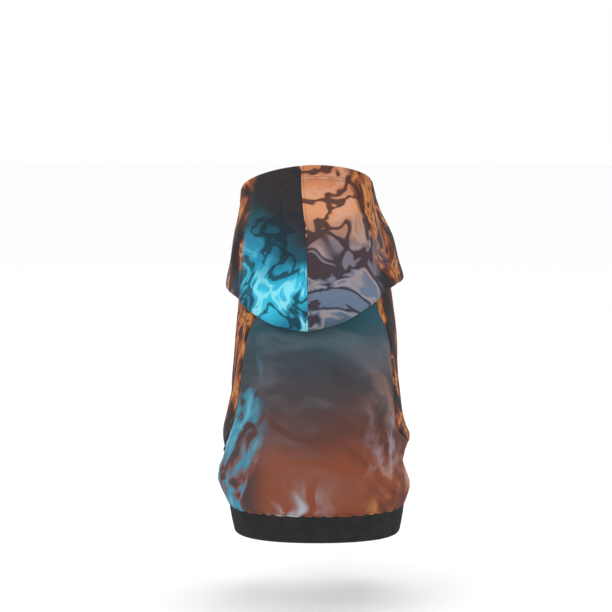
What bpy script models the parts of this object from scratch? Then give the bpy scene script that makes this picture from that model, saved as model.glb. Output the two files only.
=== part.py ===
"""Dog hoodie, in the form that it takes on a sitting dog, with the hood thrown back.

Metres, +Z up. The dog faces +Y, so its back faces -Y and its right side +X.
The origin is the centre of the neck opening, at the height of the collar.

Every piece of cloth is laid on one form, the outside of the dressed body. A place on the
form is an angle round the body (0 at the spine, 180 at the belly, plus to the dog's right),
a drop (how far it is below the origin) and an offset (how far it stands out).
"""

import math
from collections import namedtuple

import bmesh
import bpy
import numpy as np

# Cloth
CLOTH = 0.002  # thickness of the sweatshirt fleece
RIB = 0.003  # thickness of the doubled rib knit
SEAM_GAP = 0.0003  # space left between two pieces that are sewn together

# Body of the garment
NECK_WIDTH = 0.134
NECK_DEPTH = 0.120
CHEST_WIDTH = 0.184
CHEST_DEPTH = 0.203
HAUNCH_WIDTH = 0.200
HEM_WIDTH = 0.186
HEM_DEPTH = 0.156
BACK_DROP = 0.316  # from the origin down to the hem seam at the spine
SETBACK = 0.112  # how far the hem lies behind the neck
NECK_SHIFT = 0.0077  # the neck leans to the dog's left
SEAM_TWIST = 5.0  # the neckline is turned this far to the dog's right, in degrees
ROUNDNESS = 2.25  # 2 is an ellipse, more is boxier

# Edges
COLLAR_DROP = 0.008  # neckline below the origin, on average
COLLAR_TILT = 0.028  # the neckline's rise at the spine, and its fall at the throat
HEM_RISE = 0.016  # the belly's hem seam is this much higher than the back's
HEM_BAND = 0.028  # height of the rib band
BAND_TUCK = 0.001  # the band sits this far inside the cloth's edge
BAND_TAPER = 0.004  # the band's lower edge is pulled in this far

# Sleeves
ARMPIT_DROP = 0.268
ARMPIT_ANGLE = 108.0
CUFF_WIDTH = 0.074
CUFF_DEPTH = 0.078
CUFF_SPREAD = 0.108  # between the centres of the two cuffs
CUFF_FORWARD = 0.036
CUFF_DROP = 0.312
CUFF_BAND = 0.030
SLEEVE_WIDTH = 0.080  # across the sleeve at the armpit
SLEEVE_DEPTH = 0.104  # fore and aft at the armpit
SLEEVE_SPREAD = 0.108  # between the middles of the two sleeves at the armpit
SLEEVE_FORWARD = 0.018
SLEEVE_TILT = 0.08  # the slope of the sleeve's first full ring, which is higher in front
SLEEVE_EASE = 0.005  # how far the shoulder stands out from the form
SLEEVE_CLEARANCE = 0.0045  # between the sleeve's inner side and the belly
SEAM_CLEAR_SHARE = 0.3  # the share of that clearance at the sleeve's seams
WEB_CLEAR_SHARE = 0.7  # the same, just below the armpit
SLEEVE_SLANT = 0.10  # how far each metre up the upper sleeve leads in towards the spine
CUFF_TILT = 0.3 * SLEEVE_TILT
CUFF_TAPER = 0.04 * CUFF_WIDTH  # the cuff's lower edge is pulled in this far
RIB_BULGE = 0.15 * RIB  # a rib band swells this much between its edges

# Hood
BRIM_RISE = 0.019  # from the neckline up to the brim
BRIM_LEAN = 0.004  # how much more than that at the dog's right, and less at its left
HOOD_DROP = 0.130  # from the origin down to the lowest point of the hood
HOOD_FULLNESS = 0.026  # how far the outer layer stands out at the spine
HOOD_SIDE = 0.0125  # the same, at the sides
BRIM_STAND = 0.0075  # how far the brim stands out from the neck
UNDER_STAND = 0.0046  # the same, for the hidden inner layer
HOOD_TURN = -5.0  # the centre seam's angle: the hood is turned to the dog's left
HOOD_LIFT = 0.011  # the hood's lower edge is this much higher at the dog's right side
THROAT_GAP = 1.0  # angle between each half's front end and the throat
UNDER_RISE = 0.30 * BRIM_RISE  # from the neckline up to where the hood turns over

Section = namedtuple("Section", "drop width depth setback shift")
SECTIONS = (
    Section(-0.146 * BACK_DROP, 0.93 * NECK_WIDTH, 0.97 * NECK_DEPTH, 0.00 * SETBACK, 1.15 * NECK_SHIFT),
    Section(-0.052 * BACK_DROP, 0.96 * NECK_WIDTH, 0.98 * NECK_DEPTH, 0.00 * SETBACK, 1.00 * NECK_SHIFT),
    Section(0.031 * BACK_DROP, 1.01 * NECK_WIDTH, 1.03 * NECK_DEPTH, 0.00 * SETBACK, 0.65 * NECK_SHIFT),
    Section(0.125 * BACK_DROP, 1.13 * NECK_WIDTH, 1.22 * NECK_DEPTH, 0.00 * SETBACK, 0.15 * NECK_SHIFT),
    Section(0.219 * BACK_DROP, 0.865 * CHEST_WIDTH, 0.84 * CHEST_DEPTH, 0.02 * SETBACK, -0.10 * NECK_SHIFT),
    Section(0.313 * BACK_DROP, 0.905 * CHEST_WIDTH, 0.93 * CHEST_DEPTH, 0.07 * SETBACK, -0.20 * NECK_SHIFT),
    Section(0.439 * BACK_DROP, 0.955 * CHEST_WIDTH, 1.00 * CHEST_DEPTH, 0.16 * SETBACK, -0.30 * NECK_SHIFT),
    Section(0.637 * BACK_DROP, 0.995 * CHEST_WIDTH, 0.97 * CHEST_DEPTH, 0.43 * SETBACK, -0.20 * NECK_SHIFT),
    Section(0.794 * BACK_DROP, 0.945 * HAUNCH_WIDTH, 0.88 * CHEST_DEPTH, 0.71 * SETBACK, 0.0),
    Section(0.919 * BACK_DROP, 0.980 * HAUNCH_WIDTH, 1.07 * HEM_DEPTH, 0.90 * SETBACK, -0.10 * NECK_SHIFT),
    Section(1.000 * BACK_DROP, 1.000 * HEM_WIDTH, 1.00 * HEM_DEPTH, 1.00 * SETBACK, -0.35 * NECK_SHIFT),
    Section(1.120 * BACK_DROP, 0.990 * HEM_WIDTH, 0.97 * HEM_DEPTH, 1.03 * SETBACK, -0.40 * NECK_SHIFT),
)

# The seam between back and sleeve, and the one between belly and sleeve, neckline first.
# The share of the drop runs from the neckline (0) to the armpit (1).
SeamPoint = namedtuple("SeamPoint", "angle share")
REAR_SEAM = (
    SeamPoint(0.35 * ARMPIT_ANGLE, 0.00),
    SeamPoint(0.37 * ARMPIT_ANGLE, 0.22),
    SeamPoint(0.42 * ARMPIT_ANGLE, 0.42),
    SeamPoint(0.54 * ARMPIT_ANGLE, 0.56),
    SeamPoint(0.57 * ARMPIT_ANGLE, 0.68),
    SeamPoint(0.585 * ARMPIT_ANGLE, 0.80),
    SeamPoint(0.64 * ARMPIT_ANGLE, 0.88),
    SeamPoint(0.77 * ARMPIT_ANGLE, 0.94),
    SeamPoint(1.00 * ARMPIT_ANGLE, 1.00),
)
FRONT_SEAM = (
    SeamPoint(1.28 * ARMPIT_ANGLE, 0.00),
    SeamPoint(1.30 * ARMPIT_ANGLE, 0.22),
    SeamPoint(1.35 * ARMPIT_ANGLE, 0.42),
    SeamPoint(1.41 * ARMPIT_ANGLE, 0.57),
    SeamPoint(1.44 * ARMPIT_ANGLE, 0.68),
    SeamPoint(1.43 * ARMPIT_ANGLE, 0.78),
    SeamPoint(1.36 * ARMPIT_ANGLE, 0.86),
    SeamPoint(1.20 * ARMPIT_ANGLE, 0.94),
    SeamPoint(1.00 * ARMPIT_ANGLE, 1.00),
)

# Places where the cloth swells or sinks. The angle and the drop say where the fold's middle is,
# the reach says how far it spreads round and down, and a minus height is a dent. The lean turns
# the fold: it is how many degrees the fold moves round for each metre that it runs down.
Fold = namedtuple("Fold", "angle drop height reach_round reach_down lean")
BODY_FOLDS = (
    Fold(-92, 0.918 * BACK_DROP, 0.023 * HAUNCH_WIDTH, 30, 0.048 * BACK_DROP, 0),
    Fold(92, 0.945 * BACK_DROP, 0.018 * HAUNCH_WIDTH, 26, 0.034 * BACK_DROP, 0),
    Fold(88, 0.795 * BACK_DROP, 0.034 * HAUNCH_WIDTH, 20, 0.028 * BACK_DROP, 0),
    Fold(88, 0.870 * BACK_DROP, -0.010 * HAUNCH_WIDTH, 18, 0.024 * BACK_DROP, 0),
    Fold(-60, 0.965 * BACK_DROP, 0.016 * HAUNCH_WIDTH, 18, 0.028 * BACK_DROP, 0),
    Fold(36, 0.970 * BACK_DROP, 0.015 * HAUNCH_WIDTH, 18, 0.026 * BACK_DROP, 0),
    Fold(-12, 0.970 * BACK_DROP, 0.015 * HAUNCH_WIDTH, 22, 0.026 * BACK_DROP, 0),
    Fold(-46, 0.850 * BACK_DROP, -0.011 * HAUNCH_WIDTH, 10, 0.065 * BACK_DROP, 1200),
    Fold(50, 0.870 * BACK_DROP, -0.011 * HAUNCH_WIDTH, 10, 0.055 * BACK_DROP, -1200),
    Fold(4, 0.880 * BACK_DROP, -0.008 * HAUNCH_WIDTH, 34, 0.034 * BACK_DROP, 0),
    Fold(-30, 0.560 * BACK_DROP, -0.007 * HAUNCH_WIDTH, 9, 0.110 * BACK_DROP, -160),
    Fold(36, 0.600 * BACK_DROP, -0.007 * HAUNCH_WIDTH, 9, 0.100 * BACK_DROP, 160),
    Fold(84, 0.560 * BACK_DROP, -0.010 * HAUNCH_WIDTH, 14, 0.050 * BACK_DROP, 400),
    Fold(-84, 0.600 * BACK_DROP, -0.010 * HAUNCH_WIDTH, 14, 0.050 * BACK_DROP, -400),
)
HOOD_FOLDS = (
    Fold(-66, 0.50 * HOOD_DROP, 0.11 * HOOD_FULLNESS, 9, 0.30 * HOOD_DROP, 60),
    Fold(-44, 0.60 * HOOD_DROP, -0.13 * HOOD_FULLNESS, 9, 0.26 * HOOD_DROP, 90),
    Fold(-22, 0.74 * HOOD_DROP, 0.10 * HOOD_FULLNESS, 8, 0.30 * HOOD_DROP, 60),
    Fold(16, 0.78 * HOOD_DROP, 0.10 * HOOD_FULLNESS, 9, 0.26 * HOOD_DROP, -60),
    Fold(34, 0.62 * HOOD_DROP, -0.14 * HOOD_FULLNESS, 8, 0.24 * HOOD_DROP, -90),
    Fold(56, 0.55 * HOOD_DROP, 0.11 * HOOD_FULLNESS, 9, 0.28 * HOOD_DROP, -90),
    Fold(112, 0.35 * HOOD_DROP, -0.09 * HOOD_FULLNESS, 12, 0.26 * HOOD_DROP, 0),
    Fold(-118, 0.35 * HOOD_DROP, -0.09 * HOOD_FULLNESS, 12, 0.26 * HOOD_DROP, 0),
)

# The hood's lower edge: how far down it reaches, and how full it is, round the neck.
HoodEdge = namedtuple("HoodEdge", "angle drop fullness")
HOOD_EDGE = (
    HoodEdge(0, 1.000 * HOOD_DROP, HOOD_FULLNESS),
    HoodEdge(18, 0.965 * HOOD_DROP, 0.97 * HOOD_FULLNESS),
    HoodEdge(38, 0.860 * HOOD_DROP, 0.85 * HOOD_FULLNESS),
    HoodEdge(56, 0.775 * HOOD_DROP, 1.10 * HOOD_SIDE),
    HoodEdge(90, 0.735 * HOOD_DROP, 1.00 * HOOD_SIDE),
    HoodEdge(120, 0.650 * HOOD_DROP, 0.96 * HOOD_SIDE),
    HoodEdge(150, 0.540 * HOOD_DROP, 0.88 * HOOD_SIDE),
    HoodEdge(180, 0.470 * HOOD_DROP, 0.80 * HOOD_SIDE),
)

# How far each change in a sleeve has come, as the share of the drop to the armpit and the amount.
EASE_MARKS = ((0.0, 0.0), (0.30, 0.06), (0.75, 0.80), (1.0, 1.0))  # the ease over the shoulder
RING_MARKS = ((0.42, 0.0), (0.62, 0.5), (0.80, 1.0))  # from the body's form to the sleeve's oval
TILT_MARKS = ((0.75, 0.0), (1.0, 1.0))  # from level rows to the tilt of the first full ring
CLEAR_MARKS = ((0.80, 0.0), (0.96, 1.0))  # the clearance from the belly
# The hood's outer layer between its lower turn (0) and the brim (1), as a share of its fullness
# and a share of the brim's stand-off.
LayerPoint = namedtuple("LayerPoint", "share full stand")
OUTER_LAYER = (
    LayerPoint(0.0, 1.00, 0.0),
    LayerPoint(0.3, 0.97, 0.0),
    LayerPoint(0.7, 0.62, 0.2),
    LayerPoint(1.0, 0.00, 1.0),
)

# Mesh steps
ROWS_TO_ARMPIT = 17
ROWS_TO_HEM = 5
BACK_COLUMNS = 20
BELLY_COLUMNS = 12
SLEEVE_COLUMNS = 18
ROWS_TO_CUFF = 6
BAND_COLUMNS = 48
BAND_ROWS = 2
HOOD_COLUMNS = 18
HOOD_OUTER_ROWS = 7
FADE_ROWS = 4  # rows over which the neckline's curve fades from a piece
MIDDLE_SHARE = 0.90  # where a panel's armpit row lies at its middle, from neckline to hem
SEAM_CROWDING = 0.35  # how much closer together a sleeve's columns are near its seams
HOOD_CROWDING = 1.15  # the same, for the hood's columns near its centre seam
WEB_POWER = 6  # how quickly the web beside the armpit thins out round the sleeve
WEB_FADE = 1.2  # how quickly it thins out down the sleeve
RELAX_ROUNDS = 24
RELAX_STIFFNESS = 0.80
LONGEST_MITRE = 2.5
SHARP_EDGE = 50.0  # edges that bend more than this many degrees are shaded sharp

# Colours (linear red, green, blue) and roughness
TEAL_PRINT = (0.05, 0.30, 0.37, 0.85)
RUST_PRINT = (0.30, 0.12, 0.07, 0.85)
SLATE_PRINT = (0.10, 0.08, 0.08, 0.85)
AMBER_PRINT = (0.55, 0.27, 0.14, 0.85)
BLACK_RIB = (0.028, 0.028, 0.028, 0.90)


def smooth(at, knots, values):
    """A cubic through the knots that never swings past them, held level beyond the ends."""
    at = np.asarray(at, float)
    knots = np.asarray(knots, float)
    values = np.asarray(values, float)
    rise = np.diff(values) / np.diff(knots)
    before, after = rise[:-1], rise[1:]
    turning = before * after <= 0
    mean = 2 * before * after / np.where(turning, 1.0, before + after)
    slopes = np.concatenate([rise[:1], np.where(turning, 0.0, mean), rise[-1:]])
    i = np.clip(np.searchsorted(knots, at) - 1, 0, len(knots) - 2)
    step = knots[i + 1] - knots[i]
    t = np.clip((at - knots[i]) / step, 0.0, 1.0)
    start = (1 + 2 * t) * (1 - t) ** 2 * values[i] + t * (1 - t) ** 2 * step * slopes[i]
    end = t * t * (3 - 2 * t) * values[i + 1] + t * t * (t - 1) * step * slopes[i + 1]
    return start + end


def column(rows, name):
    """One named column of a table."""
    return [getattr(row, name) for row in rows]


def ramp(at, marks):
    """A smooth change through marks of place and amount."""
    return smooth(at, [place for place, _ in marks], [amount for _, amount in marks])


def section(drop):
    """Half width, half depth, middle x and middle y of the form at a drop."""
    drops = column(SECTIONS, "drop")
    half_width = smooth(drop, drops, column(SECTIONS, "width")) / 2
    half_depth = smooth(drop, drops, column(SECTIONS, "depth")) / 2
    middle_x = -smooth(drop, drops, column(SECTIONS, "shift"))
    middle_y = -smooth(drop, drops, column(SECTIONS, "setback"))
    return half_width, half_depth, middle_x, middle_y


def form(angle, drop, offset=0.0):
    """Points on the dressed body's form, offset outwards square to its level outline."""
    turn = np.radians(angle)
    drop = np.broadcast_to(np.asarray(drop, float), turn.shape)
    half_width, half_depth, middle_x, middle_y = section(drop)

    def outline(t):
        swell = (np.abs(np.sin(t)) ** ROUNDNESS + np.abs(np.cos(t)) ** ROUNDNESS) ** (-1 / ROUNDNESS)
        return half_width * np.sin(t) * swell, -half_depth * np.cos(t) * swell

    step = math.radians(0.5)
    x, y = outline(turn)
    x_after, y_after = outline(turn + step)
    x_before, y_before = outline(turn - step)
    along_x, along_y = x_after - x_before, y_after - y_before
    length = np.hypot(along_x, along_y)
    out_x, out_y = along_y / length, -along_x / length
    return np.stack([middle_x + x + offset * out_x, middle_y + y + offset * out_y, -drop], axis=-1)


def swelling(angle, drop, folds):
    """How far the folds lift the cloth off the form."""
    height = np.zeros(np.broadcast(angle, drop).shape)
    for fold in folds:
        middle = fold.angle + fold.lean * (drop - fold.drop)
        away = (np.asarray(angle) - middle + 180) % 360 - 180
        round_share = away / fold.reach_round
        down_share = (drop - fold.drop) / fold.reach_down
        height += fold.height * np.exp(-(round_share**2) - down_share**2)
    return height


def body_cloth(angle, drop):
    """Points on the outside of the body's cloth."""
    return form(angle, drop, swelling(angle, drop, BODY_FOLDS))


def body_normals(angle, drop):
    """Unit normals of the body's cloth, from its slopes along and across."""
    turn, fall = 0.5, 0.001
    across = body_cloth(angle + turn, drop) - body_cloth(angle - turn, drop)
    down = body_cloth(angle, drop + fall) - body_cloth(angle, drop - fall)
    normal = np.cross(down, across)
    return normal / np.linalg.norm(normal, axis=-1, keepdims=True)


def neckline(angle):
    """Drop of the neckline seam."""
    return COLLAR_DROP - COLLAR_TILT * np.cos(np.radians(angle))


def hemline(angle):
    """Drop of the hem seam, level round the back and higher under the belly."""
    return BACK_DROP - HEM_RISE * ((1 - np.cos(np.radians(angle))) / 2) ** 3


def seam(rows, share, side):
    """Angle and drop along a sleeve seam, at shares of its run from the neckline to the armpit."""
    angles = np.array(column(rows, "angle"), float)
    shares = np.array(column(rows, "share"), float)
    # The run is measured along the seam, so that the level stretch by the armpit gets its own rows.
    run = np.hypot(np.diff(angles) / ARMPIT_ANGLE, np.diff(shares))
    run = np.concatenate([[0.0], np.cumsum(run)])
    run /= run[-1]
    down = smooth(share, run, shares)
    angle = side * smooth(share, run, angles) + SEAM_TWIST * (1 - down)
    top = neckline(angle)
    return angle, top + down * (ARMPIT_DROP - top)


def edge_rows(rows, side):
    """Angle and drop of a body panel's side edge: the sleeve seam, then the side seam to the hem."""
    angle, drop = seam(rows, np.linspace(0, 1, ROWS_TO_ARMPIT + 1), side)
    below = np.linspace(0, 1, ROWS_TO_HEM + 1)[1:]
    side_drop = ARMPIT_DROP + below * (hemline(ARMPIT_ANGLE) - ARMPIT_DROP)
    side_angle = np.full(ROWS_TO_HEM, side * ARMPIT_ANGLE)
    return np.concatenate([angle, side_angle]), np.concatenate([drop, side_drop])


def panel(first, last, columns):
    """Angles and drops of a body panel, as rows from neck to hem between two side edges."""
    first_angle, first_drop = first
    last_angle, last_drop = last
    across = np.linspace(0, 1, columns + 1)[None, :]
    angle = first_angle[:, None] + across * (last_angle - first_angle)[:, None]
    middle_angle = (first_angle + last_angle) / 2
    top, bottom = neckline(middle_angle[0]), hemline(middle_angle[-1])
    row = np.arange(len(first_drop))
    at_armpit = top + MIDDLE_SHARE * (bottom - top)
    level = first_drop[:, None] + across * (last_drop - first_drop)[:, None]
    middle_level = (first_drop + last_drop) / 2
    marks = [middle_level[0], middle_level[ROWS_TO_ARMPIT], middle_level[-1]]
    middle_drop = np.interp(middle_level, marks, [top, at_armpit, bottom])
    drop = level + 4 * across * (1 - across) * (middle_drop - middle_level)[:, None]
    # The first and last rows follow the neckline and the hem exactly, and the others ease into them.
    ease_in = np.clip(1 - row / FADE_ROWS, 0, 1)[:, None]
    ease_out = np.clip((row - ROWS_TO_ARMPIT) / ROWS_TO_HEM, 0, 1)[:, None]
    drop += ease_in * (neckline(angle[:1]) - drop[:1]) + ease_out * (hemline(angle[-1:]) - drop[-1:])
    return angle, drop


def ring(centre, normal, width, depth, turn, side):
    """Points round an oval. Turn 0 is at its back, and 90 at its outer side."""
    normal = normal / np.linalg.norm(normal)
    ahead = np.array([0.0, 1.0, 0.0]) - normal * normal[1]
    ahead /= np.linalg.norm(ahead)
    out = np.array([side, 0.0, 0.0])
    turn = np.radians(turn)[:, None]
    return centre + np.sin(turn) * out * width / 2 - np.cos(turn) * ahead * depth / 2


def push_off_body(points, clearance):
    """Moves points that are nearer to the body's cloth than the clearance straight out from it."""
    half_width, half_depth, middle_x, middle_y = section(-points[..., 2])
    across = (points[..., 0] - middle_x) / half_width
    along = (points[..., 1] - middle_y) / half_depth
    angle = np.degrees(np.arctan2(across, -along))
    reach = (np.abs(across) ** ROUNDNESS + np.abs(along) ** ROUNDNESS) ** (1 / ROUNDNESS)
    wanted = 1 + (clearance + swelling(angle, -points[..., 2], BODY_FOLDS)) / half_width
    grow = np.maximum(wanted, reach) / reach
    moved = points.copy()
    moved[..., 0] = middle_x + across * half_width * grow
    moved[..., 1] = middle_y + along * half_depth * grow
    return moved


def sleeve_rows(side):
    """A sleeve's outside. Each row runs from the rear seam round the outside to the front seam.

    Above the armpit the ends of a row lie on the two seams. From the armpit down they meet,
    and the rows are closed rings that narrow to the cuff.
    """
    even = np.linspace(0, 1, SLEEVE_COLUMNS + 1)
    # The columns are closer together near the seams.
    across = even - SEAM_CROWDING * np.sin(2 * math.pi * even) / (2 * math.pi)
    share = np.linspace(0, 1, ROWS_TO_ARMPIT + 1)
    rear_angle, rear_drop = seam(REAR_SEAM, share, side)
    front_angle, front_drop = seam(FRONT_SEAM, share, side)
    # The first full ring is tilted about its rear, which is at the armpit.
    ring_drop = ARMPIT_DROP - 0.6 * SLEEVE_TILT * SLEEVE_DEPTH
    top_centre = np.array([side * SLEEVE_SPREAD / 2, SLEEVE_FORWARD, -ring_drop])
    top_normal = np.array([0.0, -SLEEVE_TILT, 1.0])
    cuff_centre = np.array([side * CUFF_SPREAD / 2, CUFF_FORWARD, -CUFF_DROP])
    cuff_normal = np.array([0.0, -CUFF_TILT, 1.0])

    def turn_to(point, centre):
        out = side * (point[0] - centre[0]) / SLEEVE_WIDTH
        back = (centre[1] - point[1]) / SLEEVE_DEPTH
        return math.degrees(math.atan2(out, back))

    rows, blends, stands = [], [], []
    for k, part in enumerate(share):
        angle = rear_angle[k] + across * (front_angle[k] - rear_angle[k])
        drop = rear_drop[k] + across * (front_drop[k] - rear_drop[k])
        if k == 0:
            to_neckline = neckline(angle) - drop
        drop += max(0.0, 1 - k / FADE_ROWS) * to_neckline
        ease = SLEEVE_EASE * ramp(part, EASE_MARKS) * np.sin(math.pi * even)
        arc = form(angle, drop, ease + swelling(angle, drop, BODY_FOLDS))
        mean_drop = (rear_drop[k] + front_drop[k]) / 2
        lift = max(0.0, ARMPIT_DROP - mean_drop)
        centre = top_centre + lift * np.array([-side * SLEEVE_SLANT, 0.0, 1.0])
        start = turn_to(arc[0], centre)
        end = turn_to(arc[-1], centre) + 360 if part < 1 else start + 360
        turn = start + across * (end - start)
        around = ring(centre, top_normal, SLEEVE_WIDTH, SLEEVE_DEPTH, turn, side)
        down = mean_drop / ARMPIT_DROP
        around[:, 2] = arc[:, 2] + ramp(down, TILT_MARKS) * (around[:, 2] - arc[:, 2])
        from_start, from_end = (1 - across)[:, None] ** WEB_POWER, across[:, None] ** WEB_POWER
        around += from_start * (arc[0] - around[0]) + from_end * (arc[-1] - around[-1])
        blend = ramp(down, RING_MARKS)
        rows.append((1 - blend) * arc + blend * around)
        blends.append(blend)
        stands.append(ramp(down, CLEAR_MARKS))
    armpit = rows[-1][0]
    first = ring(top_centre, top_normal, SLEEVE_WIDTH, SLEEVE_DEPTH, turn[:1], side)[0]
    for part in np.linspace(0, 1, ROWS_TO_CUFF + 1)[1:]:
        centre = top_centre + part * (cuff_centre - top_centre)
        normal = top_normal + part * (cuff_normal - top_normal)
        width = SLEEVE_WIDTH + part * (CUFF_WIDTH - SLEEVE_WIDTH)
        depth = SLEEVE_DEPTH + part * (CUFF_DEPTH - SLEEVE_DEPTH)
        around = ring(centre, normal, width, depth, turn, side)
        # The web behind the armpit fades out on the way to the cuff.
        web = (1 - part) ** WEB_FADE * np.maximum(1 - across, across)[:, None] ** WEB_POWER
        rows.append(around + web * (armpit - first))
        blends.append(0.4 * (1 - part))
    # The sleeve meets the body at its seams, and stands clear of it everywhere else.
    grid = np.array(rows)
    clearance = np.full(grid.shape[:2], SLEEVE_CLEARANCE)
    clearance[:len(stands)] *= np.array(stands)[:, None]
    clearance[:len(stands), [0, -1]] *= SEAM_CLEAR_SHARE
    clearance[ROWS_TO_ARMPIT + 1] *= WEB_CLEAR_SHARE
    for _ in range(RELAX_ROUNDS):
        grid = relaxed(grid, np.array(blends), ROWS_TO_ARMPIT)
        grid[1:] = push_off_body(grid[1:], clearance[1:])
    return grid


def relaxed(grid, weights, closed_from):
    """The grid with each inner point drawn towards its neighbours' mean, by the weight of its row.

    The points slide along the cloth and hardly move in or out of it. The edges stay put.
    Rows past closed_from are rings, whose ends move as one point.
    """
    pull = np.zeros_like(grid)
    mean = (grid[:-2, 1:-1] + grid[2:, 1:-1] + grid[1:-1, :-2] + grid[1:-1, 2:]) / 4
    pull[1:-1, 1:-1] = mean - grid[1:-1, 1:-1]
    rings = slice(closed_from + 1, -1)
    ends = (grid[closed_from:-2, 0] + grid[closed_from + 2:, 0] + grid[rings, 1] + grid[rings, -2]) / 4
    pull[rings, 0] = ends - grid[rings, 0]
    pull[rings, -1] = pull[rings, 0]
    normals = grid_normals(grid, closed_from)
    normals /= np.linalg.norm(normals, axis=-1, keepdims=True)
    outward = (pull * normals).sum(axis=-1, keepdims=True) * normals
    return grid + 0.5 * weights[:, None, None] * (pull - RELAX_STIFFNESS * outward)


def hood_profile(angle, away):
    """The hood's section at an angle, as offsets and drops from the neckline seam to the brim.

    The cloth rises a little from the neckline, turns over, runs down inside, turns up again
    at the lower edge and comes back to the brim, so it makes a pocket that is open at the top.
    """
    around = np.abs(away)
    lowest = smooth(around, column(HOOD_EDGE, "angle"), column(HOOD_EDGE, "drop"))
    lowest = lowest - HOOD_LIFT * max(0.0, math.sin(math.radians(away)))
    full = smooth(around, column(HOOD_EDGE, "angle"), column(HOOD_EDGE, "fullness"))
    top = neckline(angle)
    brim = top - BRIM_RISE - BRIM_LEAN * math.sin(math.radians(angle))
    inner = -CLOTH / 2
    fold = (UNDER_STAND - inner) / 2
    low_turn = (full - UNDER_STAND) / 2
    fold_drop = top - UNDER_RISE
    points = [(inner, top - 2 * SEAM_GAP), (inner, fold_drop)]
    for part in (0.25, 0.5, 0.75):
        out = inner + fold * (1 - math.cos(part * math.pi))
        points.append((out, fold_drop - fold * math.sin(part * math.pi)))
    for part in (0.0, 0.25, 0.5, 0.75, 1.0):
        points.append((UNDER_STAND, fold_drop + part * (lowest - low_turn - fold_drop)))
    for part in (0.2, 0.4, 0.6, 0.8):
        out = UNDER_STAND + low_turn * (1 - math.cos(part * math.pi))
        points.append((out, lowest - low_turn * (1 - math.sin(part * math.pi))))
    outer_shares = np.linspace(0, 1, HOOD_OUTER_ROWS + 1)
    outer_drop = lowest - low_turn + outer_shares * (brim - lowest + low_turn)
    offsets = [row.full * full + row.stand * BRIM_STAND for row in OUTER_LAYER]
    outer_offset = smooth(outer_shares, column(OUTER_LAYER, "share"), offsets)
    outer_offset += swelling(angle, outer_drop, HOOD_FOLDS) * (1 - outer_shares**3)
    points.extend(zip(outer_offset, outer_drop))
    return np.array(points)


def hood_half(side):
    """One half of the hood, halfway through its cloth, as columns from the centre seam to the throat."""
    end = side * (180 - THROAT_GAP)
    angles = HOOD_TURN + np.linspace(0, 1, HOOD_COLUMNS + 1) ** HOOD_CROWDING * (end - HOOD_TURN)
    columns = []
    for angle in angles:
        away = (angle - HOOD_TURN) * 180 / (180 - side * HOOD_TURN)
        points = hood_profile(angle, away)
        columns.append(form(np.full(len(points), angle), points[:, 1], points[:, 0]))
    return np.array(columns).transpose(1, 0, 2)


def grid_normals(grid, closed_from=None):
    """Normals of a grid of points, pointing out when rows run down and columns to the right.

    They are longer where a row bends sharply, as a mitre is, so a wall keeps its thickness there.
    Rows from closed_from on are rings, whose two ends are one point.
    """

    def directions(axis):
        step = np.diff(grid, axis=axis)
        return step / np.maximum(np.linalg.norm(step, axis=-1, keepdims=True), 1e-9)

    down, across = directions(0), directions(1)
    down = np.concatenate([down[:1], down]) + np.concatenate([down, down[-1:]])
    before = np.concatenate([across[:, :1], across], axis=1)
    after = np.concatenate([across, across[:, -1:]], axis=1)
    if closed_from is not None:
        before[closed_from:, 0] = across[closed_from:, -1]
        after[closed_from:, -1] = across[closed_from:, 0]
    normal = np.cross(down, before + after)
    if closed_from is not None:
        meeting = normal[closed_from:, 0] + normal[closed_from:, -1]
        normal[closed_from:, 0] = meeting
        normal[closed_from:, -1] = meeting
    straightness = np.linalg.norm(before + after, axis=-1, keepdims=True) / 2
    length = np.linalg.norm(normal, axis=-1, keepdims=True)
    return normal / length / np.maximum(straightness, 1 / LONGEST_MITRE)


def add_piece(name, vertices, faces, colour):
    """A mesh object with its own material, its faces pointing out."""
    mesh = bpy.data.meshes.new(name)
    mesh.from_pydata([tuple(v) for v in vertices], [], faces)
    shape = bmesh.new()
    shape.from_mesh(mesh)
    bmesh.ops.remove_doubles(shape, verts=shape.verts, dist=1e-6)
    bmesh.ops.triangulate(shape, faces=shape.faces)
    bmesh.ops.recalc_face_normals(shape, faces=shape.faces)
    shape.to_mesh(mesh)
    shape.free()
    mesh.shade_smooth()
    mesh.set_sharp_from_angle(angle=math.radians(SHARP_EDGE))
    material = bpy.data.materials.new(name + "_finish")
    material.use_nodes = True
    shader = material.node_tree.nodes["Principled BSDF"]
    shader.inputs["Base Color"].default_value = (*colour[:3], 1.0)
    shader.inputs["Roughness"].default_value = colour[3]
    shader.inputs["Metallic"].default_value = 0.0
    mesh.materials.append(material)
    piece = bpy.data.objects.new(name, mesh)
    bpy.context.scene.collection.objects.link(piece)


def wall_faces(rows, columns, closed_from):
    """Faces of a wall made of an outer and an inner grid. Rows from closed_from on join end to end."""
    inner = rows * columns

    def at(layer, i, j):
        return layer * inner + i * columns + j

    faces = []
    for i in range(rows - 1):
        for j in range(columns - 1):
            for layer, order in ((0, 1), (1, -1)):
                corner, below = at(layer, i, j), at(layer, i + 1, j)
                across, beside = at(layer, i + 1, j + 1), at(layer, i, j + 1)
                faces.append((corner, below, across)[::order])
                faces.append((corner, across, beside)[::order])
    for j in range(columns - 1):
        faces.append((at(0, 0, j), at(0, 0, j + 1), at(1, 0, j + 1), at(1, 0, j)))
        last = rows - 1
        faces.append((at(0, last, j), at(1, last, j), at(1, last, j + 1), at(0, last, j + 1)))
    for i in range(min(closed_from, rows - 1)):
        end = columns - 1
        faces.append((at(0, i, 0), at(1, i, 0), at(1, i + 1, 0), at(0, i + 1, 0)))
        faces.append((at(0, i, end), at(0, i + 1, end), at(1, i + 1, end), at(1, i, end)))
    return faces


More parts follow.
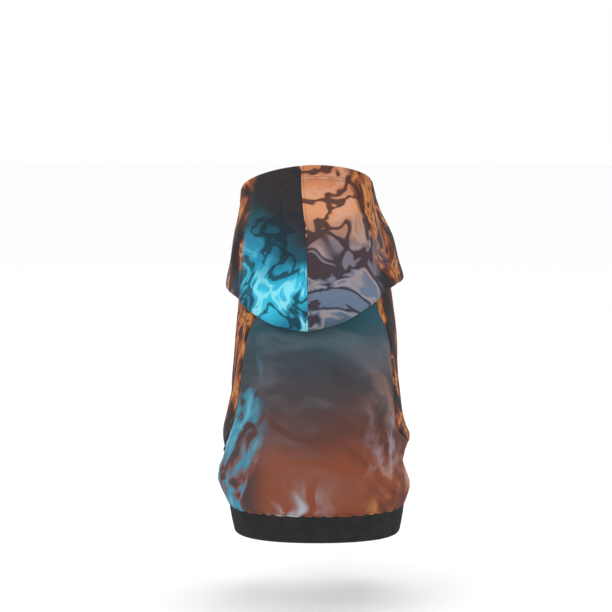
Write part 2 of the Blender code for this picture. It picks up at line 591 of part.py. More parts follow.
def cloth_wall(name, outer, inner, colour, closed_from=None):
    """A piece of cloth between two grids of points. Without closed_from, its side edges are open."""
    rows, columns = outer.shape[:2]
    vertices = np.concatenate([outer.reshape(-1, 3), inner.reshape(-1, 3)])
    first_closed = rows if closed_from is None else closed_from
    add_piece(name, vertices, wall_faces(rows, columns, first_closed), colour)


def trimmed(grid, top=0.0, bottom=0.0, sides=0.0, side_rows=None):
    """The grid with its edges drawn in by the given lengths, towards the next row or column."""
    grid = grid.copy()

    def draw_in(edge, neighbour, by):
        way = neighbour - edge
        length = np.linalg.norm(way, axis=-1, keepdims=True)
        return edge + way * np.minimum(by / np.maximum(length, 1e-9), 0.5)

    if sides:
        kept = slice(0, side_rows)
        grid[kept, 0] = draw_in(grid[kept, 0], grid[kept, 1], sides)
        grid[kept, -1] = draw_in(grid[kept, -1], grid[kept, -2], sides)
    if top:
        grid[0] = draw_in(grid[0], grid[1], top)
    if bottom:
        grid[-1] = draw_in(grid[-1], grid[-2], bottom)
    return grid


def build_body():
    right_rear, left_rear = edge_rows(REAR_SEAM, 1), edge_rows(REAR_SEAM, -1)
    right_front, left_front = edge_rows(FRONT_SEAM, 1), edge_rows(FRONT_SEAM, -1)
    back = panel(left_rear, right_rear, BACK_COLUMNS)
    belly = panel(right_front, (left_front[0] + 360, left_front[1]), BELLY_COLUMNS)
    for name, places, colour in (("back_panel", back, SLATE_PRINT), ("belly_panel", belly, RUST_PRINT)):
        outer = trimmed(body_cloth(*places), top=SEAM_GAP, bottom=SEAM_GAP, sides=2 * SEAM_GAP)
        cloth_wall(name, outer, outer - CLOTH * body_normals(*places), colour)


def build_sleeves():
    for name, side in (("sleeve_right", 1), ("sleeve_left", -1)):
        rows = sleeve_rows(side)[:, ::side]
        normals = grid_normals(rows, ROWS_TO_ARMPIT)
        outer = trimmed(rows, top=SEAM_GAP, bottom=SEAM_GAP, sides=2 * SEAM_GAP, side_rows=ROWS_TO_ARMPIT)
        cloth_wall(name, outer, outer - CLOTH * normals, RUST_PRINT, closed_from=ROWS_TO_ARMPIT)


def band(name, top_ring, bottom_ring, normals):
    """A rib band: a closed ring of doubled knit between two rings of points."""
    steps = np.linspace(0, 1, BAND_ROWS + 1)[:, None, None]
    outer = top_ring + steps * (bottom_ring - top_ring)
    outer += np.sin(math.pi * steps) * RIB_BULGE * normals
    cloth_wall(name, outer, outer - RIB * normals, BLACK_RIB, closed_from=0)


def build_bands():
    angle = np.linspace(0, 360, BAND_COLUMNS + 1)
    angle[-1] = 0.0
    top = form(angle, hemline(angle) + SEAM_GAP, swelling(angle, hemline(angle), BODY_FOLDS) - BAND_TUCK)
    bottom = form(angle, hemline(angle) + HEM_BAND, -BAND_TUCK - BAND_TAPER)
    outwards = form(angle, hemline(angle), 1.0) - form(angle, hemline(angle), 0.0)
    band("hem_band", top, bottom, outwards)
    for name, side in (("cuff_right", 1), ("cuff_left", -1)):
        rows = sleeve_rows(side)[:, ::side]
        middle = rows[-1, :-1].mean(axis=0)
        way = np.array([0.0, CUFF_TILT, -1.0])
        outwards = rows[-1] - middle
        outwards -= (outwards @ way)[:, None] * way
        outwards /= np.linalg.norm(outwards, axis=-1, keepdims=True)
        top = rows[-1] + SEAM_GAP * way - BAND_TUCK * outwards
        bottom = top + CUFF_BAND * way - CUFF_TAPER * outwards
        band(name, top, bottom, outwards)


def build_hood():
    for name, side, colour in (("hood_left", -1, TEAL_PRINT), ("hood_right", 1, AMBER_PRINT)):
        middle = trimmed(hood_half(side), sides=1.5 * SEAM_GAP)
        normals = grid_normals(middle)
        cloth_wall(name, middle + normals * CLOTH / 2, middle - normals * CLOTH / 2, colour)


def clear_scene():
    for thing in list(bpy.data.objects):
        bpy.data.objects.remove(thing)


def main():
    clear_scene()
    build_body()
    build_sleeves()
    build_bands()
    build_hood()


main()
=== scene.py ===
"""A dog's hoodie in its worn form, with the hood thrown back.

Metres, +Z up. The dog faces +Y, so the back of the hoodie faces -Y and its right side +X.
Every piece of cloth is laid on one form, the outside of the dressed body. A place on the
form is an angle round the body (0 at the spine, 180 at the belly, plus to the dog's right),
a drop (how far it is below the origin) and an offset (how far it stands out).
"""

import functools
import math
from collections import namedtuple

import bpy
import numpy as np
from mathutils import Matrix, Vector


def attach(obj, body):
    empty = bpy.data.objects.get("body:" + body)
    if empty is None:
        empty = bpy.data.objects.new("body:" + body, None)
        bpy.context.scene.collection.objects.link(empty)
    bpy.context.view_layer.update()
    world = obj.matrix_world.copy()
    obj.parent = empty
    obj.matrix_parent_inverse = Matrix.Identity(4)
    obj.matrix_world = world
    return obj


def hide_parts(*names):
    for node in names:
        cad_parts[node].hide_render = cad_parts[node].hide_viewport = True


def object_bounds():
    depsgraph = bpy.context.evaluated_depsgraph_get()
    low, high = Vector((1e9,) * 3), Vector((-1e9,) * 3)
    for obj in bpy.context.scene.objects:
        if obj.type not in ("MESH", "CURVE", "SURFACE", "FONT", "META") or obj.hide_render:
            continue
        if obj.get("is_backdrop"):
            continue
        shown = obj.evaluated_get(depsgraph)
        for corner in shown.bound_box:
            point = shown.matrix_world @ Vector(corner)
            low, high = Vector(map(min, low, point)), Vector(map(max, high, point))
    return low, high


bl_info = {
    "name": "Dog Hoodie",
    "version": (1, 0, 0),
    "blender": (4, 5, 0),
    "location": "3D View > Sidebar > Hoodie",
    "description": "Makes the cloth, rib bands, seams and stitches of a dog's hoodie",
    "category": "Object",
}

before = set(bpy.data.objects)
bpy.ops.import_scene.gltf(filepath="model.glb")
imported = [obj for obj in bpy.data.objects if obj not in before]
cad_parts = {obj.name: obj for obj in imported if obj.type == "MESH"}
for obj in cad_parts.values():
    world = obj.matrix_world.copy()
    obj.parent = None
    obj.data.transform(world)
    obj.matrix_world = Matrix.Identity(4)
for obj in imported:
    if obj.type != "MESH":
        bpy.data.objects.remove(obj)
CAD_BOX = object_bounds()

# Cloth
CLOTH = 0.002  # thickness of the sweatshirt fleece
RIB = 0.003  # thickness of the doubled rib knit
SEAM_GAP = 0.0003  # space left between two pieces that are sewn together

# Body of the garment
NECK_WIDTH = 0.134
NECK_DEPTH = 0.120
CHEST_WIDTH = 0.184
CHEST_DEPTH = 0.203
HAUNCH_WIDTH = 0.200
HEM_WIDTH = 0.186
HEM_DEPTH = 0.156
BACK_DROP = 0.316  # from the origin down to the hem seam at the spine
SETBACK = 0.112  # how far the hem lies behind the neck
NECK_SHIFT = 0.0077  # the neck leans to the dog's left
SEAM_TWIST = 5.0  # the neckline is turned this far to the dog's right, in degrees
ROUNDNESS = 2.25  # 2 is an ellipse, more is boxier

# Edges
COLLAR_DROP = 0.008  # neckline below the origin, on average
COLLAR_TILT = 0.028  # the neckline's rise at the spine, and its fall at the throat
HEM_RISE = 0.016  # the belly's hem seam is this much higher than the back's
HEM_BAND = 0.028  # height of the rib band
BAND_TUCK = 0.001  # the band sits this far inside the cloth's edge
BAND_TAPER = 0.004  # the band's lower edge is pulled in this far

# Sleeves
ARMPIT_DROP = 0.268
ARMPIT_ANGLE = 108.0
CUFF_WIDTH = 0.074
CUFF_DEPTH = 0.078
CUFF_SPREAD = 0.108  # between the centres of the two cuffs
CUFF_FORWARD = 0.036
CUFF_DROP = 0.312
CUFF_BAND = 0.030
SLEEVE_WIDTH = 0.080  # across the sleeve at the armpit
SLEEVE_DEPTH = 0.104  # fore and aft at the armpit
SLEEVE_SPREAD = 0.108  # between the middles of the two sleeves at the armpit
SLEEVE_FORWARD = 0.018
SLEEVE_TILT = 0.08  # the slope of the sleeve's first full ring, which is higher in front
SLEEVE_EASE = 0.005  # how far the shoulder stands out from the form
SLEEVE_CLEARANCE = 0.0045  # between the sleeve's inner side and the belly
SEAM_CLEAR_SHARE = 0.3  # the share of that clearance at the sleeve's seams
WEB_CLEAR_SHARE = 0.7  # the same, just below the armpit
SLEEVE_SLANT = 0.10  # how far each metre up the upper sleeve leads in towards the spine
CUFF_TILT = 0.3 * SLEEVE_TILT
CUFF_TAPER = 0.04 * CUFF_WIDTH  # the cuff's lower edge is pulled in this far
RIB_BULGE = 0.15 * RIB  # a rib band swells this much between its edges

# Hood
BRIM_RISE = 0.019  # from the neckline up to the brim
BRIM_LEAN = 0.004  # how much more than that at the dog's right, and less at its left
HOOD_DROP = 0.130  # from the origin down to the lowest point of the hood
HOOD_FULLNESS = 0.026  # how far the outer layer stands out at the spine
HOOD_SIDE = 0.0125  # the same, at the sides
BRIM_STAND = 0.0075  # how far the brim stands out from the neck
UNDER_STAND = 0.0046  # the same, for the hidden inner layer
HOOD_TURN = -5.0  # the centre seam's angle: the hood is turned to the dog's left
HOOD_LIFT = 0.011  # the hood's lower edge is this much higher at the dog's right side
THROAT_GAP = 1.0  # angle between each half's front end and the throat
UNDER_RISE = 0.30 * BRIM_RISE  # from the neckline up to where the hood turns over

Section = namedtuple("Section", "drop width depth setback shift")
SECTIONS = (
    Section(-0.146 * BACK_DROP, 0.93 * NECK_WIDTH, 0.97 * NECK_DEPTH, 0.00 * SETBACK, 1.15 * NECK_SHIFT),
    Section(-0.052 * BACK_DROP, 0.96 * NECK_WIDTH, 0.98 * NECK_DEPTH, 0.00 * SETBACK, 1.00 * NECK_SHIFT),
    Section(0.031 * BACK_DROP, 1.01 * NECK_WIDTH, 1.03 * NECK_DEPTH, 0.00 * SETBACK, 0.65 * NECK_SHIFT),
    Section(0.125 * BACK_DROP, 1.13 * NECK_WIDTH, 1.22 * NECK_DEPTH, 0.00 * SETBACK, 0.15 * NECK_SHIFT),
    Section(0.219 * BACK_DROP, 0.865 * CHEST_WIDTH, 0.84 * CHEST_DEPTH, 0.02 * SETBACK, -0.10 * NECK_SHIFT),
    Section(0.313 * BACK_DROP, 0.905 * CHEST_WIDTH, 0.93 * CHEST_DEPTH, 0.07 * SETBACK, -0.20 * NECK_SHIFT),
    Section(0.439 * BACK_DROP, 0.955 * CHEST_WIDTH, 1.00 * CHEST_DEPTH, 0.16 * SETBACK, -0.30 * NECK_SHIFT),
    Section(0.637 * BACK_DROP, 0.995 * CHEST_WIDTH, 0.97 * CHEST_DEPTH, 0.43 * SETBACK, -0.20 * NECK_SHIFT),
    Section(0.794 * BACK_DROP, 0.945 * HAUNCH_WIDTH, 0.88 * CHEST_DEPTH, 0.71 * SETBACK, 0.0),
    Section(0.919 * BACK_DROP, 0.980 * HAUNCH_WIDTH, 1.07 * HEM_DEPTH, 0.90 * SETBACK, -0.10 * NECK_SHIFT),
    Section(1.000 * BACK_DROP, 1.000 * HEM_WIDTH, 1.00 * HEM_DEPTH, 1.00 * SETBACK, -0.35 * NECK_SHIFT),
    Section(1.120 * BACK_DROP, 0.990 * HEM_WIDTH, 0.97 * HEM_DEPTH, 1.03 * SETBACK, -0.40 * NECK_SHIFT),
)

# The seam between back and sleeve, and the one between belly and sleeve, neckline first.
# The share of the drop runs from the neckline (0) to the armpit (1).
SeamPoint = namedtuple("SeamPoint", "angle share")
REAR_SEAM = (
    SeamPoint(0.35 * ARMPIT_ANGLE, 0.00),
    SeamPoint(0.37 * ARMPIT_ANGLE, 0.22),
    SeamPoint(0.42 * ARMPIT_ANGLE, 0.42),
    SeamPoint(0.54 * ARMPIT_ANGLE, 0.56),
    SeamPoint(0.57 * ARMPIT_ANGLE, 0.68),
    SeamPoint(0.585 * ARMPIT_ANGLE, 0.80),
    SeamPoint(0.64 * ARMPIT_ANGLE, 0.88),
    SeamPoint(0.77 * ARMPIT_ANGLE, 0.94),
    SeamPoint(1.00 * ARMPIT_ANGLE, 1.00),
)
FRONT_SEAM = (
    SeamPoint(1.28 * ARMPIT_ANGLE, 0.00),
    SeamPoint(1.30 * ARMPIT_ANGLE, 0.22),
    SeamPoint(1.35 * ARMPIT_ANGLE, 0.42),
    SeamPoint(1.41 * ARMPIT_ANGLE, 0.57),
    SeamPoint(1.44 * ARMPIT_ANGLE, 0.68),
    SeamPoint(1.43 * ARMPIT_ANGLE, 0.78),
    SeamPoint(1.36 * ARMPIT_ANGLE, 0.86),
    SeamPoint(1.20 * ARMPIT_ANGLE, 0.94),
    SeamPoint(1.00 * ARMPIT_ANGLE, 1.00),
)

# Places where the cloth swells or sinks. The angle and the drop say where the fold's middle is,
# the reach says how far it spreads round and down, and a minus height is a dent. The lean turns
# the fold: it is how many degrees the fold moves round for each metre that it runs down.
Fold = namedtuple("Fold", "angle drop height reach_round reach_down lean")
BODY_FOLDS = (
    Fold(-92, 0.918 * BACK_DROP, 0.023 * HAUNCH_WIDTH, 30, 0.048 * BACK_DROP, 0),
    Fold(92, 0.945 * BACK_DROP, 0.018 * HAUNCH_WIDTH, 26, 0.034 * BACK_DROP, 0),
    Fold(88, 0.795 * BACK_DROP, 0.034 * HAUNCH_WIDTH, 20, 0.028 * BACK_DROP, 0),
    Fold(88, 0.870 * BACK_DROP, -0.010 * HAUNCH_WIDTH, 18, 0.024 * BACK_DROP, 0),
    Fold(-60, 0.965 * BACK_DROP, 0.016 * HAUNCH_WIDTH, 18, 0.028 * BACK_DROP, 0),
    Fold(36, 0.970 * BACK_DROP, 0.015 * HAUNCH_WIDTH, 18, 0.026 * BACK_DROP, 0),
    Fold(-12, 0.970 * BACK_DROP, 0.015 * HAUNCH_WIDTH, 22, 0.026 * BACK_DROP, 0),
    Fold(-46, 0.850 * BACK_DROP, -0.011 * HAUNCH_WIDTH, 10, 0.065 * BACK_DROP, 1200),
    Fold(50, 0.870 * BACK_DROP, -0.011 * HAUNCH_WIDTH, 10, 0.055 * BACK_DROP, -1200),
    Fold(4, 0.880 * BACK_DROP, -0.008 * HAUNCH_WIDTH, 34, 0.034 * BACK_DROP, 0),
    Fold(-30, 0.560 * BACK_DROP, -0.007 * HAUNCH_WIDTH, 9, 0.110 * BACK_DROP, -160),
    Fold(36, 0.600 * BACK_DROP, -0.007 * HAUNCH_WIDTH, 9, 0.100 * BACK_DROP, 160),
    Fold(84, 0.560 * BACK_DROP, -0.010 * HAUNCH_WIDTH, 14, 0.050 * BACK_DROP, 400),
    Fold(-84, 0.600 * BACK_DROP, -0.010 * HAUNCH_WIDTH, 14, 0.050 * BACK_DROP, -400),
)
HOOD_FOLDS = (
    Fold(-66, 0.50 * HOOD_DROP, 0.11 * HOOD_FULLNESS, 9, 0.30 * HOOD_DROP, 60),
    Fold(-44, 0.60 * HOOD_DROP, -0.13 * HOOD_FULLNESS, 9, 0.26 * HOOD_DROP, 90),
    Fold(-22, 0.74 * HOOD_DROP, 0.10 * HOOD_FULLNESS, 8, 0.30 * HOOD_DROP, 60),
    Fold(16, 0.78 * HOOD_DROP, 0.10 * HOOD_FULLNESS, 9, 0.26 * HOOD_DROP, -60),
    Fold(34, 0.62 * HOOD_DROP, -0.14 * HOOD_FULLNESS, 8, 0.24 * HOOD_DROP, -90),
    Fold(56, 0.55 * HOOD_DROP, 0.11 * HOOD_FULLNESS, 9, 0.28 * HOOD_DROP, -90),
    Fold(112, 0.35 * HOOD_DROP, -0.09 * HOOD_FULLNESS, 12, 0.26 * HOOD_DROP, 0),
    Fold(-118, 0.35 * HOOD_DROP, -0.09 * HOOD_FULLNESS, 12, 0.26 * HOOD_DROP, 0),
)

# The hood's lower edge: how far down it reaches, and how full it is, round the neck.
HoodEdge = namedtuple("HoodEdge", "angle drop fullness")
HOOD_EDGE = (
    HoodEdge(0, 1.000 * HOOD_DROP, HOOD_FULLNESS),
    HoodEdge(18, 0.965 * HOOD_DROP, 0.97 * HOOD_FULLNESS),
    HoodEdge(38, 0.860 * HOOD_DROP, 0.85 * HOOD_FULLNESS),
    HoodEdge(56, 0.775 * HOOD_DROP, 1.10 * HOOD_SIDE),
    HoodEdge(90, 0.735 * HOOD_DROP, 1.00 * HOOD_SIDE),
    HoodEdge(120, 0.650 * HOOD_DROP, 0.96 * HOOD_SIDE),
    HoodEdge(150, 0.540 * HOOD_DROP, 0.88 * HOOD_SIDE),
    HoodEdge(180, 0.470 * HOOD_DROP, 0.80 * HOOD_SIDE),
)

# How far each change in a sleeve has come, as the share of the drop to the armpit and the amount.
EASE_MARKS = ((0.0, 0.0), (0.30, 0.06), (0.75, 0.80), (1.0, 1.0))  # the ease over the shoulder
RING_MARKS = ((0.42, 0.0), (0.62, 0.5), (0.80, 1.0))  # from the body's form to the sleeve's oval
TILT_MARKS = ((0.75, 0.0), (1.0, 1.0))  # from level rows to the tilt of the first full ring
CLEAR_MARKS = ((0.80, 0.0), (0.96, 1.0))  # the clearance from the belly
# The hood's outer layer between its lower turn (0) and the brim (1), as a share of its fullness
# and a share of the brim's stand-off.
LayerPoint = namedtuple("LayerPoint", "share full stand")
OUTER_LAYER = (
    LayerPoint(0.0, 1.00, 0.0),
    LayerPoint(0.3, 0.97, 0.0),
    LayerPoint(0.7, 0.62, 0.2),
    LayerPoint(1.0, 0.00, 1.0),
)

# Mesh steps
ROWS_TO_ARMPIT = 17
ROWS_TO_HEM = 5
BACK_COLUMNS = 20
BELLY_COLUMNS = 12
SLEEVE_COLUMNS = 18
ROWS_TO_CUFF = 6
HOOD_COLUMNS = 18
HOOD_OUTER_ROWS = 7
FADE_ROWS = 4  # rows over which the neckline's curve fades from a piece
MIDDLE_SHARE = 0.90  # where a panel's armpit row lies at its middle, from neckline to hem
SEAM_CROWDING = 0.35  # how much closer together a sleeve's columns are near its seams
HOOD_CROWDING = 1.15  # the same, for the hood's columns near its centre seam
WEB_POWER = 6  # how quickly the web beside the armpit thins out round the sleeve
WEB_FADE = 1.2  # how quickly it thins out down the sleeve
RELAX_ROUNDS = 24
RELAX_STIFFNESS = 0.80
LONGEST_MITRE = 2.5
SHARP_EDGE = 50.0  # edges that bend more than this many degrees are shaded sharp

# Finer steps of the visible cloth, and the small things sewn on it
FINE_ROWS = 7
FINE_COLUMNS = 8
FINE_HOOD_ROWS = 6
EDGE_STEPS = 3
EDGE_GAP = 0.0003  # how far the cloth stops short of a seam line
EDGE_BULGE = 0.0004  # how far a rounded edge stands past that
SEAM_REACH = 0.0028
GATHER_REACH = 0.014
HEM_GATHERS = 0.75  # how fast the puckers follow each other round the hem
CUFF_GATHERS = 0.62
HEM_LAYER = 0.0012
HEM_STEP = 0.0006
BAND_LAP = 0.0012  # a rib band goes up this far behind the edge of the cloth
BAND_SLIT = 0.0003
BAND_STEPS = 9
BAND_TURN_STEPS = 8
RIB_STEPS = 6
RIB_ROUNDNESS = 2.5  # a higher power makes a rib flatter on top
RIB_START = 0.45  # share of its height that a rib has at the band's edge
HEM_STEPS = 1440  # points around the hem band's rings
CUFF_FINENESS = 4  # how much finer a cuff's ring is than the sleeve's columns
CUFF_OVERLAP = 3  # columns added at each end, so that the ring closes smoothly
STITCH_INSET = 0.0026
STITCH_STEPS = 5
TWIN_NEEDLE = 0.0032
ALLOWANCE_WIDTH = 0.0055
ALLOWANCE_CROSSES = 0.0015  # how far a seam edge reaches past its seam
ALLOWANCE_THICK = 0.0014
ALLOWANCE_SIDES = 10
ALLOWANCE_STEP = 0.0009
ALLOWANCE_LOOP = 0.0027
FLOOR = -0.435  # where the dog would sit, below the hem

# Small folds of the visible cloth, on top of the form's own.
FINE_FOLDS = (
    Fold(-66, 0.925 * BACK_DROP, 0.0022, 7, 0.020, 900),
    Fold(-78, 0.860 * BACK_DROP, 0.0018, 6, 0.022, -500),
    Fold(-52, 0.900 * BACK_DROP, -0.0016, 6, 0.024, 700),
    Fold(-30, 0.945 * BACK_DROP, 0.0012, 7, 0.016, 500),
    Fold(64, 0.905 * BACK_DROP, 0.0020, 7, 0.022, -800),
    Fold(76, 0.840 * BACK_DROP, -0.0018, 6, 0.020, 500),
    Fold(48, 0.935 * BACK_DROP, -0.0014, 6, 0.020, -600),
    Fold(24, 0.950 * BACK_DROP, 0.0012, 7, 0.016, -400),
    Fold(-46, 0.720 * BACK_DROP, 0.0012, 5, 0.040, -220),
    Fold(50, 0.740 * BACK_DROP, 0.0012, 5, 0.036, 220),
    Fold(-104, 0.900 * BACK_DROP, 0.0016, 5, 0.020, 600),
    Fold(106, 0.905 * BACK_DROP, 0.0016, 5, 0.020, -600),
    Fold(150, 0.700 * BACK_DROP, 0.0018, 7, 0.030, -260),
    Fold(-150, 0.680 * BACK_DROP, 0.0018, 7, 0.030, 260),
    Fold(172, 0.560 * BACK_DROP, -0.0014, 7, 0.034, 120),
    Fold(-168, 0.820 * BACK_DROP, -0.0016, 8, 0.022, -300),
    Fold(176, 0.860 * BACK_DROP, 0.0016, 9, 0.018, 200),
)

# The same for the sleeves. The angle runs from -90 to 90 round the sleeve, from the rear seam on
# the right sleeve, and the drop is a share of the sleeve's length.
SLEEVE_FOLDS = (
    Fold(-40, 0.62, 0.0020, 9, 0.060, 60),
    Fold(-22, 0.70, -0.0018, 8, 0.055, 60),
    Fold(-4, 0.76, 0.0018, 9, 0.050, 40),
    Fold(18, 0.83, -0.0014, 9, 0.045, -40),
    Fold(40, 0.78, 0.0018, 10, 0.050, -60),
    Fold(-52, 0.80, 0.0014, 8, 0.040, 90),
    Fold(8, 0.93, 0.0016, 14, 0.022, 0),
    Fold(-30, 0.95, -0.0012, 12, 0.020, 0),
    Fold(44, 0.94, -0.0012, 12, 0.022, 0),
    Fold(0, 0.46, -0.0012, 10, 0.060, 30),
)

# And for the hood. The angle is from its centre seam, and the drop is the share in percent of the
# way from the neckline to the brim.
HOOD_FINE_FOLDS = (
    Fold(-14, 72, -0.0010, 5, 12, 0.3),
    Fold(-32, 78, 0.0012, 5, 14, 0.4),
    Fold(-58, 74, 0.0014, 6, 12, 0.5),
    Fold(-76, 70, -0.0014, 6, 12, 0.3),
    Fold(22, 74, 0.0010, 5, 12, -0.3),
    Fold(44, 76, 0.0012, 5, 14, -0.4),
    Fold(66, 72, 0.0014, 6, 12, -0.5),
    Fold(84, 70, -0.0014, 6, 12, -0.3),
    Fold(-84, 56, 0.0026, 9, 9, 0.2),
    Fold(-98, 34, -0.0018, 9, 8, 0.0),
    Fold(-76, 30, 0.0016, 7, 8, 0.3),
    Fold(88, 50, 0.0028, 9, 9, -0.2),
    Fold(92, 30, -0.0018, 9, 8, 0.0),
    Fold(74, 34, 0.0014, 7, 8, -0.3),
    Fold(-120, 66, 0.0016, 8, 10, 0.0),
    Fold(124, 66, 0.0016, 8, 10, 0.0),
)

# Camera
CAMERA_RISE = 6.0
CAMERA_AWAY = 2.4
PHOTO_WIDTH = 612  # pixels
MIDDLE_ASIDE = 8  # pixels from the origin to the middle of the photograph, sideways
MIDDLE_DROP = 106  # and down
PIXEL = 0.0011  # what a pixel spans at the origin, in metres
VIEW_WIDTH = PHOTO_WIDTH * PIXEL
CAMERA_ASIDE = MIDDLE_ASIDE * PIXEL
CAMERA_DROP = MIDDLE_DROP * PIXEL
FLOOR_SIZE = 12.0


def smooth(at, knots, values):
    """A cubic through the knots that never swings past them, held level beyond the ends."""
    at = np.asarray(at, float)
    knots = np.asarray(knots, float)
    values = np.asarray(values, float)
    rise = np.diff(values) / np.diff(knots)
    before, after = rise[:-1], rise[1:]
    turning = before * after <= 0
    mean = 2 * before * after / np.where(turning, 1.0, before + after)
    slopes = np.concatenate([rise[:1], np.where(turning, 0.0, mean), rise[-1:]])
    i = np.clip(np.searchsorted(knots, at) - 1, 0, len(knots) - 2)
    step = knots[i + 1] - knots[i]
    t = np.clip((at - knots[i]) / step, 0.0, 1.0)
    start = (1 + 2 * t) * (1 - t) ** 2 * values[i] + t * (1 - t) ** 2 * step * slopes[i]
    end = t * t * (3 - 2 * t) * values[i + 1] + t * t * (t - 1) * step * slopes[i + 1]
    return start + end


def column(rows, name):
    """One named column of a table."""
    return [getattr(row, name) for row in rows]


def ramp(at, marks):
    """A smooth change through marks of place and amount."""
    return smooth(at, [place for place, _ in marks], [amount for _, amount in marks])


def section(drop):
    """Half width, half depth, middle x and middle y of the form at a drop."""
    drops = column(SECTIONS, "drop")
    half_width = smooth(drop, drops, column(SECTIONS, "width")) / 2
    half_depth = smooth(drop, drops, column(SECTIONS, "depth")) / 2
    middle_x = -smooth(drop, drops, column(SECTIONS, "shift"))
    middle_y = -smooth(drop, drops, column(SECTIONS, "setback"))
    return half_width, half_depth, middle_x, middle_y


def form(angle, drop, offset=0.0):
    """Points on the dressed body's form, offset outwards square to its level outline."""
    turn = np.radians(angle)
    drop = np.broadcast_to(np.asarray(drop, float), turn.shape)
    half_width, half_depth, middle_x, middle_y = section(drop)

    def outline(t):
        swell = (np.abs(np.sin(t)) ** ROUNDNESS + np.abs(np.cos(t)) ** ROUNDNESS) ** (-1 / ROUNDNESS)
        return half_width * np.sin(t) * swell, -half_depth * np.cos(t) * swell

    step = math.radians(0.5)
    x, y = outline(turn)
    x_after, y_after = outline(turn + step)
    x_before, y_before = outline(turn - step)
    along_x, along_y = x_after - x_before, y_after - y_before
    length = np.hypot(along_x, along_y)
    out_x, out_y = along_y / length, -along_x / length
    return np.stack([middle_x + x + offset * out_x, middle_y + y + offset * out_y, -drop], axis=-1)


def swelling(angle, drop, folds):
    """How far the folds lift the cloth off the form."""
    height = np.zeros(np.broadcast(angle, drop).shape)
    for fold in folds:
        middle = fold.angle + fold.lean * (drop - fold.drop)
        away = (np.asarray(angle) - middle + 180) % 360 - 180
        round_share = away / fold.reach_round
        down_share = (drop - fold.drop) / fold.reach_down
        height += fold.height * np.exp(-(round_share**2) - down_share**2)
    return height


def body_cloth(angle, drop):
    """Points on the outside of the body's cloth."""
    return form(angle, drop, swelling(angle, drop, BODY_FOLDS))


def body_normals(angle, drop):
    """Unit normals of the body's cloth, from its slopes along and across."""
    turn, fall = 0.5, 0.001
    across = body_cloth(angle + turn, drop) - body_cloth(angle - turn, drop)
    down = body_cloth(angle, drop + fall) - body_cloth(angle, drop - fall)
    normal = np.cross(down, across)
    return normal / np.linalg.norm(normal, axis=-1, keepdims=True)


def neckline(angle):
    """Drop of the neckline seam."""
    return COLLAR_DROP - COLLAR_TILT * np.cos(np.radians(angle))


def hemline(angle):
    """Drop of the hem seam, level round the back and higher under the belly."""
    return BACK_DROP - HEM_RISE * ((1 - np.cos(np.radians(angle))) / 2) ** 3


def seam(rows, share, side):
    """Angle and drop along a sleeve seam, at shares of its run from the neckline to the armpit."""
    angles = np.array(column(rows, "angle"), float)
    shares = np.array(column(rows, "share"), float)
    # The run is measured along the seam, so that the level stretch by the armpit gets its own rows.
    run = np.hypot(np.diff(angles) / ARMPIT_ANGLE, np.diff(shares))
    run = np.concatenate([[0.0], np.cumsum(run)])
    run /= run[-1]
    down = smooth(share, run, shares)
    angle = side * smooth(share, run, angles) + SEAM_TWIST * (1 - down)
    top = neckline(angle)
    return angle, top + down * (ARMPIT_DROP - top)


def edge_rows(rows, side):
    """Angle and drop of a body panel's side edge: the sleeve seam, then the side seam to the hem."""
    angle, drop = seam(rows, np.linspace(0, 1, ROWS_TO_ARMPIT + 1), side)
    below = np.linspace(0, 1, ROWS_TO_HEM + 1)[1:]
    side_drop = ARMPIT_DROP + below * (hemline(ARMPIT_ANGLE) - ARMPIT_DROP)
    side_angle = np.full(ROWS_TO_HEM, side * ARMPIT_ANGLE)
    return np.concatenate([angle, side_angle]), np.concatenate([drop, side_drop])


def panel(first, last, columns):
    """Angles and drops of a body panel, as rows from neck to hem between two side edges."""
    first_angle, first_drop = first
    last_angle, last_drop = last
    across = np.linspace(0, 1, columns + 1)[None, :]
    angle = first_angle[:, None] + across * (last_angle - first_angle)[:, None]
    middle_angle = (first_angle + last_angle) / 2
    top, bottom = neckline(middle_angle[0]), hemline(middle_angle[-1])
    row = np.arange(len(first_drop))
    at_armpit = top + MIDDLE_SHARE * (bottom - top)
    level = first_drop[:, None] + across * (last_drop - first_drop)[:, None]
    middle_level = (first_drop + last_drop) / 2
    marks = [middle_level[0], middle_level[ROWS_TO_ARMPIT], middle_level[-1]]
    middle_drop = np.interp(middle_level, marks, [top, at_armpit, bottom])
    drop = level + 4 * across * (1 - across) * (middle_drop - middle_level)[:, None]
    # The first and last rows follow the neckline and the hem exactly, and the others ease into them.
    ease_in = np.clip(1 - row / FADE_ROWS, 0, 1)[:, None]
    ease_out = np.clip((row - ROWS_TO_ARMPIT) / ROWS_TO_HEM, 0, 1)[:, None]
    drop += ease_in * (neckline(angle[:1]) - drop[:1]) + ease_out * (hemline(angle[-1:]) - drop[-1:])
    return angle, drop


def ring(centre, normal, width, depth, turn, side):
    """Points round an oval. Turn 0 is at its back, and 90 at its outer side."""
    normal = normal / np.linalg.norm(normal)
    ahead = np.array([0.0, 1.0, 0.0]) - normal * normal[1]
    ahead /= np.linalg.norm(ahead)
    out = np.array([side, 0.0, 0.0])
    turn = np.radians(turn)[:, None]
    return centre + np.sin(turn) * out * width / 2 - np.cos(turn) * ahead * depth / 2


